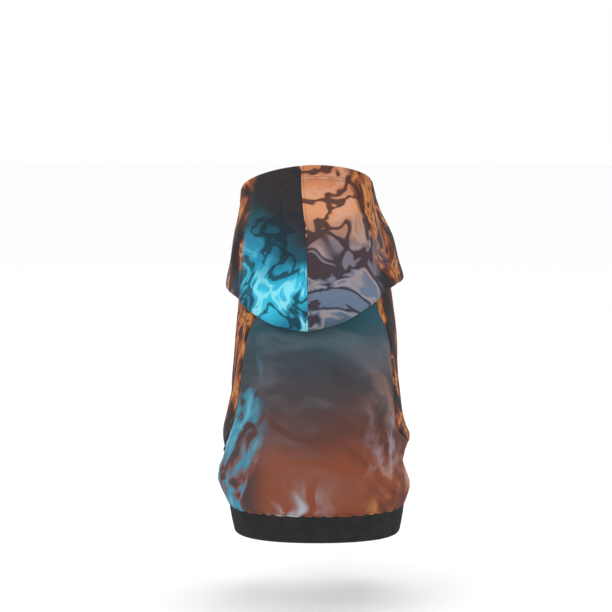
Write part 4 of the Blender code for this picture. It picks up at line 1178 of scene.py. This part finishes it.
def seam_lines():
    """The lines of the seam edges, on the inside of the cloth."""
    lines = []
    body, sleeves, hood = body_cloths(), sleeve_cloths(), hood_cloths()
    for cloth in body.values():
        for axis, end in ((1, False), (1, True), (0, True), (0, False)):
            lines.append(inside_line(cloth.back, axis, end))
    for cloth in sleeves.values():
        lines.append(inside_line(cloth.back, 0, True))
        # The raglan seams, from the neckline to the armpit.
        open_rows = cloth.back[: cloth.closed_from + 1]
        for end in (False, True):
            lines.append(inside_line(open_rows, 1, end))
    for name, cloth in hood.items():
        lines.append(inside_line(cloth.back, 1, name == "right"))
    return lines


def inside_line(back_side, axis, from_end):
    line, out = inset_line(back_side, ALLOWANCE_WIDTH / 2 - ALLOWANCE_CROSSES, axis, from_end)
    return line - out * ALLOWANCE_THICK / 2, out


def dye(code):
    """A colour from its six-figure screen code, as linear red, green and blue."""
    parts = [int(code[k:k + 2], 16) / 255 for k in (0, 2, 4)]
    return tuple(c / 12.92 if c <= 0.04045 else ((c + 0.055) / 1.055) ** 2.4 for c in parts)


class Finish:
    """Makes one material, node by node."""

    def __init__(self, name, roughness, sheen, sheen_colour):
        self.material = bpy.data.materials.new(name)
        self.material.use_nodes = True
        self.tree = self.material.node_tree
        self.shader = self.tree.nodes["Principled BSDF"]
        self.shader.inputs["Roughness"].default_value = roughness
        self.shader.inputs["Specular IOR Level"].default_value = 0.10
        self.shader.inputs["Sheen Weight"].default_value = sheen
        self.shader.inputs["Sheen Roughness"].default_value = 0.45
        self.shader.inputs["Sheen Tint"].default_value = (*sheen_colour, 1.0)
        self.place = self.add("ShaderNodeTexCoord").outputs["Object"]

    def add(self, kind, inputs=(), **settings):
        node = self.tree.nodes.new(kind)
        for key, value in settings.items():
            setattr(node, key, value)
        for key, value in dict(inputs).items():
            socket = node.inputs[key]
            if isinstance(value, bpy.types.NodeSocket):
                self.tree.links.new(value, socket)
            elif value is not None:
                socket.default_value = value
        return node

    def math(self, operation, first, second=None, third=None):
        values = {k: v for k, v in enumerate((first, second, third)) if v is not None}
        return self.add("ShaderNodeMath", values, operation=operation).outputs[0]

    def shift(self, operation, first, second):
        """A sum, difference or product of two vectors, or a vector scaled by a number."""
        inputs = {0: first, ("Scale" if operation == "SCALE" else 1): second}
        return self.add("ShaderNodeVectorMath", inputs, operation=operation).outputs[0]

    def noise(self, place, size, detail=2.0, rough=0.5):
        """Cloudy noise whose clouds are about as wide as the size in metres."""
        inputs = {"Vector": place, "Scale": 1 / size, "Detail": detail, "Roughness": rough}
        return self.add("ShaderNodeTexNoise", inputs)

    def range(self, value, low, high, start=0.0, end=1.0, soft=True):
        inputs = {"Value": value, "From Min": low, "From Max": high, "To Min": start, "To Max": end}
        kind = "SMOOTHSTEP" if soft else "LINEAR"
        return self.add("ShaderNodeMapRange", inputs, interpolation_type=kind).outputs[0]

    def ramp(self, value, stops):
        """Colours along a value, from a list of places and screen codes."""
        node = self.add("ShaderNodeValToRGB", {"Fac": value})
        node.color_ramp.interpolation = "EASE"
        points = node.color_ramp.elements
        for _ in range(len(stops) - len(points)):
            points.new(0.5)
        for point, (where, code) in zip(points, stops):
            point.position = where
            point.color = (*dye(code), 1.0)
        return node.outputs["Color"]

    def mix(self, share, first, second):
        """One colour laid over another by a share."""
        inputs = {"Factor": share, "A": first, "B": second}
        node = self.tree.nodes.new("ShaderNodeMix")
        node.data_type = "RGBA"
        for key, value in inputs.items():
            socket = next(s for s in node.inputs if s.name == key and (key == "Factor") == (s.type == "VALUE")
                          and (key == "Factor" or s.type == "RGBA"))
            if isinstance(value, bpy.types.NodeSocket):
                self.tree.links.new(value, socket)
            else:
                socket.default_value = (*value, 1.0) if isinstance(value, tuple) else value
        return next(s for s in node.outputs if s.type == "RGBA")

    def axes(self, place):
        """The three numbers of a place."""
        return tuple(self.add("ShaderNodeSeparateXYZ", {0: place}).outputs)

    def map(self, name):
        """Two numbers from one of the piece's own maps."""
        return self.axes(self.add("ShaderNodeUVMap", uv_map=name).outputs[0])[:2]

    def bump(self, layers):
        """Bumps laid over each other: each has a height value, a strength and a depth in metres."""
        normal = None
        for height, strength, depth in layers:
            inputs = {"Height": height, "Strength": strength, "Distance": depth, "Normal": normal}
            normal = self.add("ShaderNodeBump", {k: v for k, v in inputs.items() if v is not None}).outputs[0]
        self.tree.links.new(normal, self.shader.inputs["Normal"])

    def colour(self, socket):
        self.tree.links.new(socket, self.shader.inputs["Base Color"])
        return self.material


def knit_height(finish, wale, course):
    """Heights of a plain knit: columns of V-shaped loops.

    A wave runs down the cloth and is pushed along by how far a point is from the middle of its
    column, so that its crests form Vs. The columns are raised in the middle.
    """
    across, down = finish.map("weave")
    column = finish.math("PINGPONG", finish.math("DIVIDE", across, wale), 0.5)
    slant = finish.math("ADD", finish.math("DIVIDE", down, course), column)
    loops = finish.math("SINE", finish.math("MULTIPLY", slant, 2 * math.pi))
    raised = finish.math("SINE", finish.math("MULTIPLY", column, 2 * math.pi))
    return finish.math("ADD", finish.math("MULTIPLY", loops, 0.5), raised)


def drawn_out(finish, offset, stretch, broad, fine):
    """The place, pushed about by a broad and a fine noise as ink is in a marbling bath.

    broad and fine are each a size and a push in metres. The stretch makes the pattern longer
    along the axes where it is small.
    """
    place = finish.shift("ADD", finish.place, offset)
    for size, push in (broad, fine):
        cloud = finish.noise(place, size, 1.5).outputs["Color"]
        pushed = finish.shift("SCALE", finish.shift("SUBTRACT", cloud, (0.5, 0.5, 0.5)), None)
        pushed.node.inputs["Scale"].default_value = 2 * push
        place = finish.shift("ADD", place, pushed)
    return finish.shift("MULTIPLY", place, stretch)


def cloth_surface(finish):
    """The knit, the nap of the cloth and soft unevenness, as bumps."""
    sizes = bpy.context.scene.hoodie_sizes
    nap = finish.noise(finish.place, 0.0022, 3.0, 0.6).outputs[0]
    uneven = finish.noise(finish.place, 0.022, 2.0).outputs[0]
    knit = knit_height(finish, sizes.knit_wale, sizes.knit_course)
    finish.bump(((uneven, 0.30, 0.002), (nap, 0.08, 0.0005), (knit, 0.45, 0.00022)))


def printed(name, paint):
    """A printed sweatshirt cloth. paint works out its colour."""
    looks = bpy.context.scene.hoodie_looks
    finish = Finish(name, 0.80, 0.06, tuple(looks.nap))
    cloth_surface(finish)
    colour = paint(finish)
    speck = finish.noise(finish.place, 0.0006, 3.0, 0.6).outputs[0]
    worn = finish.range(speck, 0.35, 0.75, 0.0, 0.022)
    return finish.colour(finish.mix(worn, colour, tuple(looks.wear)))


def near(finish, value, middle, width, soft):
    """Where a value is near the middle: 1 inside the width, falling to 0 past the soft edge."""
    away = finish.math("ABSOLUTE", finish.math("SUBTRACT", value, middle))
    return finish.range(away, width, width + soft, 1.0, 0.0)


def share(finish, *values):
    """The product of several shares."""
    return functools.reduce(lambda first, second: finish.math("MULTIPLY", first, second), values)


def back_paint(finish):
    """Slate at the shoulders, charcoal in the middle and rust at the hem, with drifting smoke."""
    side, _, height = finish.axes(finish.place)
    drift = drawn_out(finish, (0.3, 0.1, 0.7), (1.0, 1.0, 1.0), (0.13, 0.030), (0.05, 0.008))
    level = finish.axes(drift)[2]
    base = finish.ramp(finish.range(level, 0.62, 0.40, soft=False), (
        (0.05, "215F6C"), (0.22, "2B4D58"), (0.38, "3C4249"), (0.54, "423C40"), (0.70, "563833"),
        (0.90, "7C412C")))
    # Broad, faint bands of smoke lie across the middle.
    haze_place = drawn_out(finish, (0.8, 0.6, 0.2), (0.30, 0.6, 1.0), (0.14, 0.050), (0.05, 0.012))
    haze = finish.noise(haze_place, 0.030, 2.0, 0.45).outputs[0]
    high = finish.range(height, -0.30, -0.22, 0.25, 1.0)
    colour = finish.mix(share(finish, high, finish.range(haze, 0.48, 0.74, 0.0, 0.26)), base, dye("7C7E84"))
    colour = finish.mix(finish.range(haze, 0.46, 0.28, 0.0, 0.40), colour, dye("2A282C"))
    smoke_place = drawn_out(finish, (0.9, 0.2, 0.4), (1.0, 1.0, 0.50), (0.10, 0.050), (0.035, 0.014))
    smoke = finish.noise(smoke_place, 0.034, 3.0, 0.55).outputs[0]
    low = finish.range(height, -0.12, -0.22)
    cool = share(finish, low, finish.range(side, -0.044, -0.074))
    warm = share(finish, low, finish.range(side, 0.040, 0.080))
    dark = share(finish, cool, finish.range(smoke, 0.56, 0.44, 0.0, 0.8))
    colour = finish.mix(dark, colour, dye("25333B"))
    colour = finish.mix(share(finish, cool, finish.range(smoke, 0.50, 0.60)), colour, dye("37839B"))
    colour = finish.mix(share(finish, cool, finish.range(smoke, 0.58, 0.74, 0.0, 0.8)), colour, dye("79B0BE"))
    pale = finish.ramp(finish.range(height, -0.20, -0.32, soft=False), (
        (0.0, "7C6058"), (0.45, "8E7E88"), (0.75, "A87C62"), (1.0, "C48A44")))
    colour = finish.mix(share(finish, warm, finish.range(smoke, 0.44, 0.58)), colour, pale)
    colour = finish.mix(share(finish, warm, finish.range(smoke, 0.46, 0.34, 0.0, 0.7)), colour, dye("3A2C2E"))
    # A pale plume rises from the hem beside the middle.
    plume = share(finish, finish.range(height, -0.270, -0.315), near(finish, side, -0.012, 0.012, 0.034),
                  finish.range(smoke, 0.44, 0.60))
    return finish.mix(share(finish, plume, 0.75), colour, dye("A9BCC6"))


def cool_hood_paint(finish):
    """Charcoal at the brim that turns to bright blue-green ink lower down."""
    drift = drawn_out(finish, (0.2, 0.5, 0.1), (1.0, 1.0, 1.0), (0.085, 0.050), (0.030, 0.014))
    across, _, level = finish.axes(drift)
    slant = finish.math("ADD", level, finish.math("MULTIPLY", across, 0.35))
    base = finish.ramp(finish.range(slant, 0.195, 0.035, soft=False), (
        (0.0, "322A2A"), (0.24, "2A2A2E"), (0.40, "1B4A59"), (0.56, "218BAC"), (0.78, "35B4D2"),
        (1.0, "1B7490")))
    ink_place = drawn_out(finish, (0.6, 0.3, 0.8), (1.0, 1.0, 0.5), (0.07, 0.045), (0.024, 0.010))
    ink = finish.noise(ink_place, 0.028, 2.5, 0.5).outputs[0]
    rust = share(finish, finish.range(slant, 0.13, 0.18), finish.range(ink, 0.50, 0.64, 0.0, 0.8))
    colour = finish.mix(rust, base, dye("6E4030"))
    dark = near(finish, ink, 0.565, 0.022, 0.035)
    colour = finish.mix(share(finish, dark, 0.80), colour, dye("14242C"))
    pale = share(finish, near(finish, ink, 0.42, 0.016, 0.040), finish.range(slant, 0.125, 0.075))
    colour = finish.mix(share(finish, pale, 0.70), colour, dye("8FE0EA"))
    return side_zone(finish, colour)


def warm_hood_paint(finish):
    """Terracotta at the brim that turns to slate and lavender lower down, marbled with brown."""
    drift = drawn_out(finish, (0.7, 0.1, 0.3), (1.0, 1.0, 1.0), (0.09, 0.045), (0.035, 0.012))
    level = finish.axes(drift)[2]
    base = finish.ramp(finish.range(level, 0.335, 0.175, soft=False), (
        (0.0, "B87350"), (0.22, "CF8E66"), (0.40, "A0745F"), (0.56, "71666F"), (0.80, "5F6D81"),
        (1.0, "44586A")))
    vein_place = drawn_out(finish, (0.4, 0.6, 0.2), (0.55, 1.0, 0.9), (0.075, 0.050), (0.025, 0.010))
    vein = finish.noise(vein_place, 0.028, 2.0, 0.5).outputs[0]
    brown = near(finish, vein, 0.535, 0.030, 0.030)
    colour = finish.mix(share(finish, brown, 0.88), base, dye("33252A"))
    pale = near(finish, vein, 0.42, 0.012, 0.040)
    colour = finish.mix(share(finish, pale, 0.35), colour, dye("C2A598"))
    return side_zone(finish, colour)


def dark_marble(finish, offset):
    """Near-black brown with rust, amber and a little blue-green drawn through it."""
    place = drawn_out(finish, offset, (1.0, 1.0, 0.5), (0.08, 0.050), (0.028, 0.014))
    ink = finish.noise(place, 0.028, 3.0, 0.55).outputs[0]
    colour = finish.ramp(ink, (
        (0.28, "1D2A31"), (0.40, "282023"), (0.48, "43261F"), (0.545, "8C4A2C"), (0.59, "C07F45"),
        (0.63, "54301F"), (0.74, "262022")))
    blue = finish.noise(place, 0.09, 1.0).outputs[0]
    return finish.mix(finish.range(blue, 0.60, 0.72, 0.0, 0.5), colour, dye("27627A"))


def side_zone(finish, colour):
    """The hood's sides are in the dark marble that the sleeves have."""
    around, _ = finish.map("form")
    away = finish.math("ABSOLUTE", finish.math("SUBTRACT", around, HOOD_TURN / 180))
    wander = finish.noise(finish.place, 0.045, 2.0).outputs[0]
    edge = finish.math("ADD", away, finish.math("MULTIPLY", wander, 0.09))
    return finish.mix(finish.range(edge, 0.275, 0.325), colour, dark_marble(finish, (0.55, 0.2, 0.9)))


def sleeve_paint(finish):
    return dark_marble(finish, (0.15, 0.35, 0.55))


def belly_paint(finish):
    """Rust at the hem that fades to charcoal up to the throat, with amber smoke."""
    drift = drawn_out(finish, (0.5, 0.8, 0.7), (1.0, 1.0, 1.0), (0.12, 0.045), (0.04, 0.012))
    level = finish.axes(drift)[2]
    base = finish.ramp(finish.range(level, 0.66, 0.40, soft=False), (
        (0.0, "36353A"), (0.35, "4A4042"), (0.65, "683F33"), (1.0, "82492F")))
    ink_place = drawn_out(finish, (0.1, 0.7, 0.3), (1.0, 1.0, 0.5), (0.09, 0.050), (0.03, 0.012))
    ink = finish.noise(ink_place, 0.034, 2.5).outputs[0]
    colour = finish.mix(finish.range(ink, 0.56, 0.66, 0.0, 0.75), base, dye("A4683A"))
    return finish.mix(finish.range(ink, 0.44, 0.34, 0.0, 0.8), colour, dye("2A292D"))


@functools.cache
def fleece():
    """The brushed, unprinted inside of the cloth."""
    looks = bpy.context.scene.hoodie_looks
    finish = Finish("brushed_fleece", 0.95, 0.25, (1.0, 1.0, 1.0))
    tufts = finish.noise(finish.place, 0.004, 4.0, 0.65).outputs[0]
    clumps = finish.noise(finish.place, 0.0012, 2.0, 0.6).outputs[0]
    finish.bump(((tufts, 0.6, 0.0015), (clumps, 0.5, 0.0005)))
    shade = finish.range(tufts, 0.35, 0.65, 0.0, 0.35)
    return finish.colour(finish.mix(shade, tuple(looks.fleece), dye("B9B3AC")))


@functools.cache
def black_rib():
    """Rib knit, with its loops as bumps and a little fading on the ridges."""
    looks, sizes = bpy.context.scene.hoodie_looks, bpy.context.scene.hoodie_sizes
    finish = Finish("black_rib_knit", 0.88, 0.06, (0.5, 0.5, 0.52))
    loops = knit_height(finish, sizes.rib_pitch / 2, sizes.knit_course)
    nap = finish.noise(finish.place, 0.002, 3.0, 0.6).outputs[0]
    finish.bump(((nap, 0.25, 0.0005), (loops, 0.35, 0.00012)))
    cloud = finish.noise(finish.place, 0.012, 3.0).outputs[0]
    faded = finish.range(cloud, 0.35, 0.70, 0.0, 0.5)
    return finish.colour(finish.mix(faded, tuple(looks.rib), tuple(looks.rib_faded)))


@functools.cache
def thread(name, colour):
    """Sewing thread: a fine twist, seen as bumps."""
    finish = Finish(name, 0.55, 0.2, (1.0, 1.0, 1.0))
    twist = finish.add("ShaderNodeTexWave", {"Vector": finish.place, "Scale": 900.0, "Distortion": 1.0})
    finish.bump(((twist.outputs[1], 0.3, 0.0001),))
    shade = finish.range(finish.noise(finish.place, 0.01).outputs[0], 0.3, 0.7, 0.0, 0.3)
    return finish.colour(finish.mix(shade, colour, tuple(0.6 * c for c in colour)))


class HoodieSizes(bpy.types.PropertyGroup):
    """The sizes of the cloth's small details."""

    def length(name, description, default, low, high):
        return bpy.props.FloatProperty(
            name=name, description=description, default=default, min=low, max=high,
            unit="LENGTH", precision=5,
        )

    seam_depth: length("Seam depth", "How far the cloth sinks beside a seam", 0.0009, 0.0, 0.003)
    gather_height: length("Pucker height", "Height of the puckers above the rib bands", 0.0006, 0.0, 0.002)
    brim_hem: length("Brim hem", "How wide the brim is turned in", 0.014, 0.006, 0.030)
    rib_pitch: length("Rib pitch", "From one rib of the knit to the next", 0.0030, 0.0015, 0.006)
    rib_height: length("Rib height", "How far the ribs stand out", 0.00038, 0.0, 0.001)
    knit_wale: length("Wale", "Width of one column of loops", 0.0011, 0.0005, 0.003)
    knit_course: length("Course", "Height of one row of loops", 0.0009, 0.0005, 0.003)
    stitch_pitch: length("Stitch pitch", "From one stitch to the next", 0.0034, 0.002, 0.006)
    stitch_length: length("Stitch length", "Length of one stitch", 0.0028, 0.001, 0.005)
    thread: length("Thread", "Thickness of the sewing thread", 0.00045, 0.0002, 0.001)


class HoodieLooks(bpy.types.PropertyGroup):
    """The plain colours of the hoodie. The prints are mixed from dyes of their own."""

    def colour(name, description, code):
        return bpy.props.FloatVectorProperty(
            name=name, description=description, default=dye(code), size=3, min=0.0, max=1.0,
            subtype="COLOR",
        )

    rib: colour("Rib", "The rib knit of the hem band and the cuffs", "252526")
    rib_faded: colour("Faded rib", "The rib knit where it has faded", "2F2F30")
    fleece: colour("Fleece", "The brushed inside of the cloth", "E9E5DF")
    nap: colour("Nap", "The sheen of the cloth's nap", "C9C9CC")
    wear: colour("Wear", "Bare fibre tips in the print", "B9B2AC")
    cool_thread: colour("Cool thread", "The thread on the left half of the hood", "1C3A46")
    warm_thread: colour("Warm thread", "The thread on the right half of the hood", "4A3530")
    dark_thread: colour("Dark thread", "The thread on the body and the sleeves", "2B2729")
    floor: colour("Floor", "The pale floor", "FDFDFD")


def fit_cloth(piece, node):
    """Hangs a panel from the root and hides the part that it takes the place of."""
    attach(piece, "root")
    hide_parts(node)


def fit_sewing(piece):
    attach(piece, "root")


class HOODIE_OT_body(bpy.types.Operator):
    """Make the back and belly panels"""

    bl_idname = "hoodie.body"
    bl_label = "Body"

    def execute(self, context):
        cloths = body_cloths()
        for name, paint, slot in (("back", back_paint, "slate_print"), ("belly", belly_paint, "rust_print")):
            look = printed(name + "_print", paint)
            piece = make_cloth(name + "_cloth", cloths[name], (look, fleece()))
            fit_cloth(piece, name + "_panel")
        return {"FINISHED"}


class HOODIE_OT_sleeves(bpy.types.Operator):
    """Make the two raglan sleeves"""

    bl_idname = "hoodie.sleeves"
    bl_label = "Sleeves"

    def execute(self, context):
        look = printed("sleeve_print", sleeve_paint)
        for name, cloth in sleeve_cloths().items():
            piece = make_cloth("sleeve_cloth_" + name, cloth, (look, fleece()))
            fit_cloth(piece, "sleeve_" + name)
        return {"FINISHED"}


class HOODIE_OT_hood(bpy.types.Operator):
    """Make the two halves of the hood"""

    bl_idname = "hoodie.hood"
    bl_label = "Hood"

    def execute(self, context):
        cloths = hood_cloths()
        halves = (("left", cool_hood_paint, "teal_print"), ("right", warm_hood_paint, "amber_print"))
        for name, paint, slot in halves:
            look = printed("hood_print_" + name, paint)
            piece = make_cloth("hood_cloth_" + name, cloths[name], (look, fleece()))
            fit_cloth(piece, "hood_" + name)
        return {"FINISHED"}


class HOODIE_OT_bands(bpy.types.Operator):
    """Make the rib hem band and the two rib cuffs"""

    bl_idname = "hoodie.bands"
    bl_label = "Rib bands"

    def execute(self, context):
        rings = (("hem_band", hem_rings()), ("cuff_right", cuff_rings(1)), ("cuff_left", cuff_rings(-1)))
        for node, ring_points in rings:
            piece, (length, height) = rib_band(node + "_knit", *ring_points)
            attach(piece, "root")
            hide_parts(node)
        return {"FINISHED"}


class HOODIE_OT_stitches(bpy.types.Operator):
    """Sew the rows of stitches"""

    bl_idname = "hoodie.stitches"
    bl_label = "Stitches"

    def execute(self, context):
        looks = context.scene.hoodie_looks
        dark = thread("dark_thread", tuple(looks.dark_thread))
        cool = thread("cool_thread", tuple(looks.cool_thread))
        warm = thread("warm_thread", tuple(looks.warm_thread))
        hood = hood_stitches()
        half = len(hood) // 2
        rows = (
            ("stitches_body", body_stitches(), dark, "slate_print"),
            ("stitches_sleeves", sleeve_stitches(), dark, "rust_print"),
            ("stitches_hood_right", hood[:half], warm, "amber_print"),
            ("stitches_hood_left", hood[half:], cool, "teal_print"),
        )
        for name, runs, look, slot in rows:
            fit_sewing(make_stitches(name, runs, look))
        return {"FINISHED"}


class HOODIE_OT_seam_edges(bpy.types.Operator):
    """Bind the seam edges inside"""

    bl_idname = "hoodie.seam_edges"
    bl_label = "Seam edges"

    def execute(self, context):
        looks = context.scene.hoodie_looks
        look = thread("overlock_thread", tuple(looks.dark_thread))
        fit_sewing(make_seam_edges("seam_edges", seam_lines(), look))
        return {"FINISHED"}


def soft_light(name, place, aim, size, power):
    """A square soft light that faces a point."""
    light = bpy.data.lights.new(name, "AREA")
    light.size = size
    light.energy = power
    lamp = bpy.data.objects.new(name, light)
    bpy.context.scene.collection.objects.link(lamp)
    away = unit(np.subtract(place, aim))
    lamp.location = place
    lamp.rotation_euler = (math.acos(away[2]), 0.0, math.atan2(away[1], away[0]) + math.pi / 2)


class HOODIE_OT_stage(bpy.types.Operator):
    """Set up the floor, the lights and the camera"""

    bl_idname = "hoodie.stage"
    bl_label = "Stage"

    def execute(self, context):
        scene = context.scene
        corners = FLOOR_SIZE * np.array([(-1, -1, 0), (1, -1, 0), (1, 1, 0), (-1, 1, 0)]) + (0, 0, FLOOR)
        finish = Finish("floor_paint", 0.9, 0.0, (1.0, 1.0, 1.0))
        shade = finish.range(finish.noise(finish.place, 0.8).outputs[0], 0.3, 0.7, 0.0, 0.02)
        look = finish.colour(finish.mix(shade, tuple(scene.hoodie_looks.floor), dye("F6F6F5")))
        floor = make_mesh("floor", corners, np.array([[0, 1, 2, 3]]), np.zeros(1, int), {}, [look])
        floor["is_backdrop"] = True
        world = bpy.data.worlds.new("studio")
        world.use_nodes = True
        world.node_tree.nodes["Background"].inputs["Color"].default_value = (1.0, 1.0, 1.0, 1.0)
        world.node_tree.nodes["Background"].inputs["Strength"].default_value = 1.0
        scene.world = world
        middle = (0.0, -0.05, -0.15)
        soft_light("key_light", (-1.3, -1.9, 1.2), middle, 1.2, 13.0)
        soft_light("fill_light", (1.8, -1.2, 0.5), middle, 1.6, 5.0)
        soft_light("top_light", (0.2, 0.9, 1.9), middle, 1.4, 9.0)
        scene.view_settings.view_transform = "Standard"
        camera = bpy.data.objects.new("camera", bpy.data.cameras.new("camera"))
        scene.collection.objects.link(camera)
        rise = math.radians(CAMERA_RISE)
        look_way = np.array([0.0, math.cos(rise), -math.sin(rise)])
        up = np.array([0.0, math.sin(rise), math.cos(rise)])
        aim = np.array([-CAMERA_ASIDE, 0.0, 0.0]) - CAMERA_DROP * up
        camera.location = aim - CAMERA_AWAY * look_way
        camera.rotation_euler = (math.pi / 2 - rise, 0.0, 0.0)
        camera.data.sensor_width = 36.0
        camera.data.lens = 36.0 * CAMERA_AWAY / VIEW_WIDTH
        camera.data.clip_end = 100.0
        scene.camera = camera
        return {"FINISHED"}


class HOODIE_PT_panel(bpy.types.Panel):
    """The hoodie's pieces and sizes"""

    bl_label = "Hoodie"
    bl_idname = "HOODIE_PT_panel"
    bl_space_type = "VIEW_3D"
    bl_region_type = "UI"
    bl_category = "Hoodie"

    def draw(self, context):
        for maker in MAKERS:
            self.layout.operator(maker.bl_idname)
        for group in (context.scene.hoodie_sizes, context.scene.hoodie_looks):
            box = self.layout.box()
            for name in group.__annotations__:
                box.prop(group, name)


MAKERS = (
    HOODIE_OT_body,
    HOODIE_OT_sleeves,
    HOODIE_OT_hood,
    HOODIE_OT_bands,
    HOODIE_OT_stitches,
    HOODIE_OT_seam_edges,
    HOODIE_OT_stage,
)
CLASSES = (HoodieSizes, HoodieLooks, *MAKERS, HOODIE_PT_panel)


def register():
    for each in CLASSES:
        bpy.utils.register_class(each)
    bpy.types.Scene.hoodie_sizes = bpy.props.PointerProperty(type=HoodieSizes)
    bpy.types.Scene.hoodie_looks = bpy.props.PointerProperty(type=HoodieLooks)


def unregister():
    del bpy.types.Scene.hoodie_looks
    del bpy.types.Scene.hoodie_sizes
    for each in reversed(CLASSES):
        bpy.utils.unregister_class(each)


def main():
    register()
    bpy.ops.hoodie.body()
    bpy.ops.hoodie.sleeves()
    bpy.ops.hoodie.hood()
    bpy.ops.hoodie.bands()
    bpy.ops.hoodie.stitches()
    bpy.ops.hoodie.seam_edges()
    bpy.ops.hoodie.stage()
    boxes = {"cad": CAD_BOX, "visual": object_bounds()}
    boxes = {name: [[float(v) for v in corner] for corner in box] for name, box in boxes.items()}


if __name__ == "__main__":
    main()
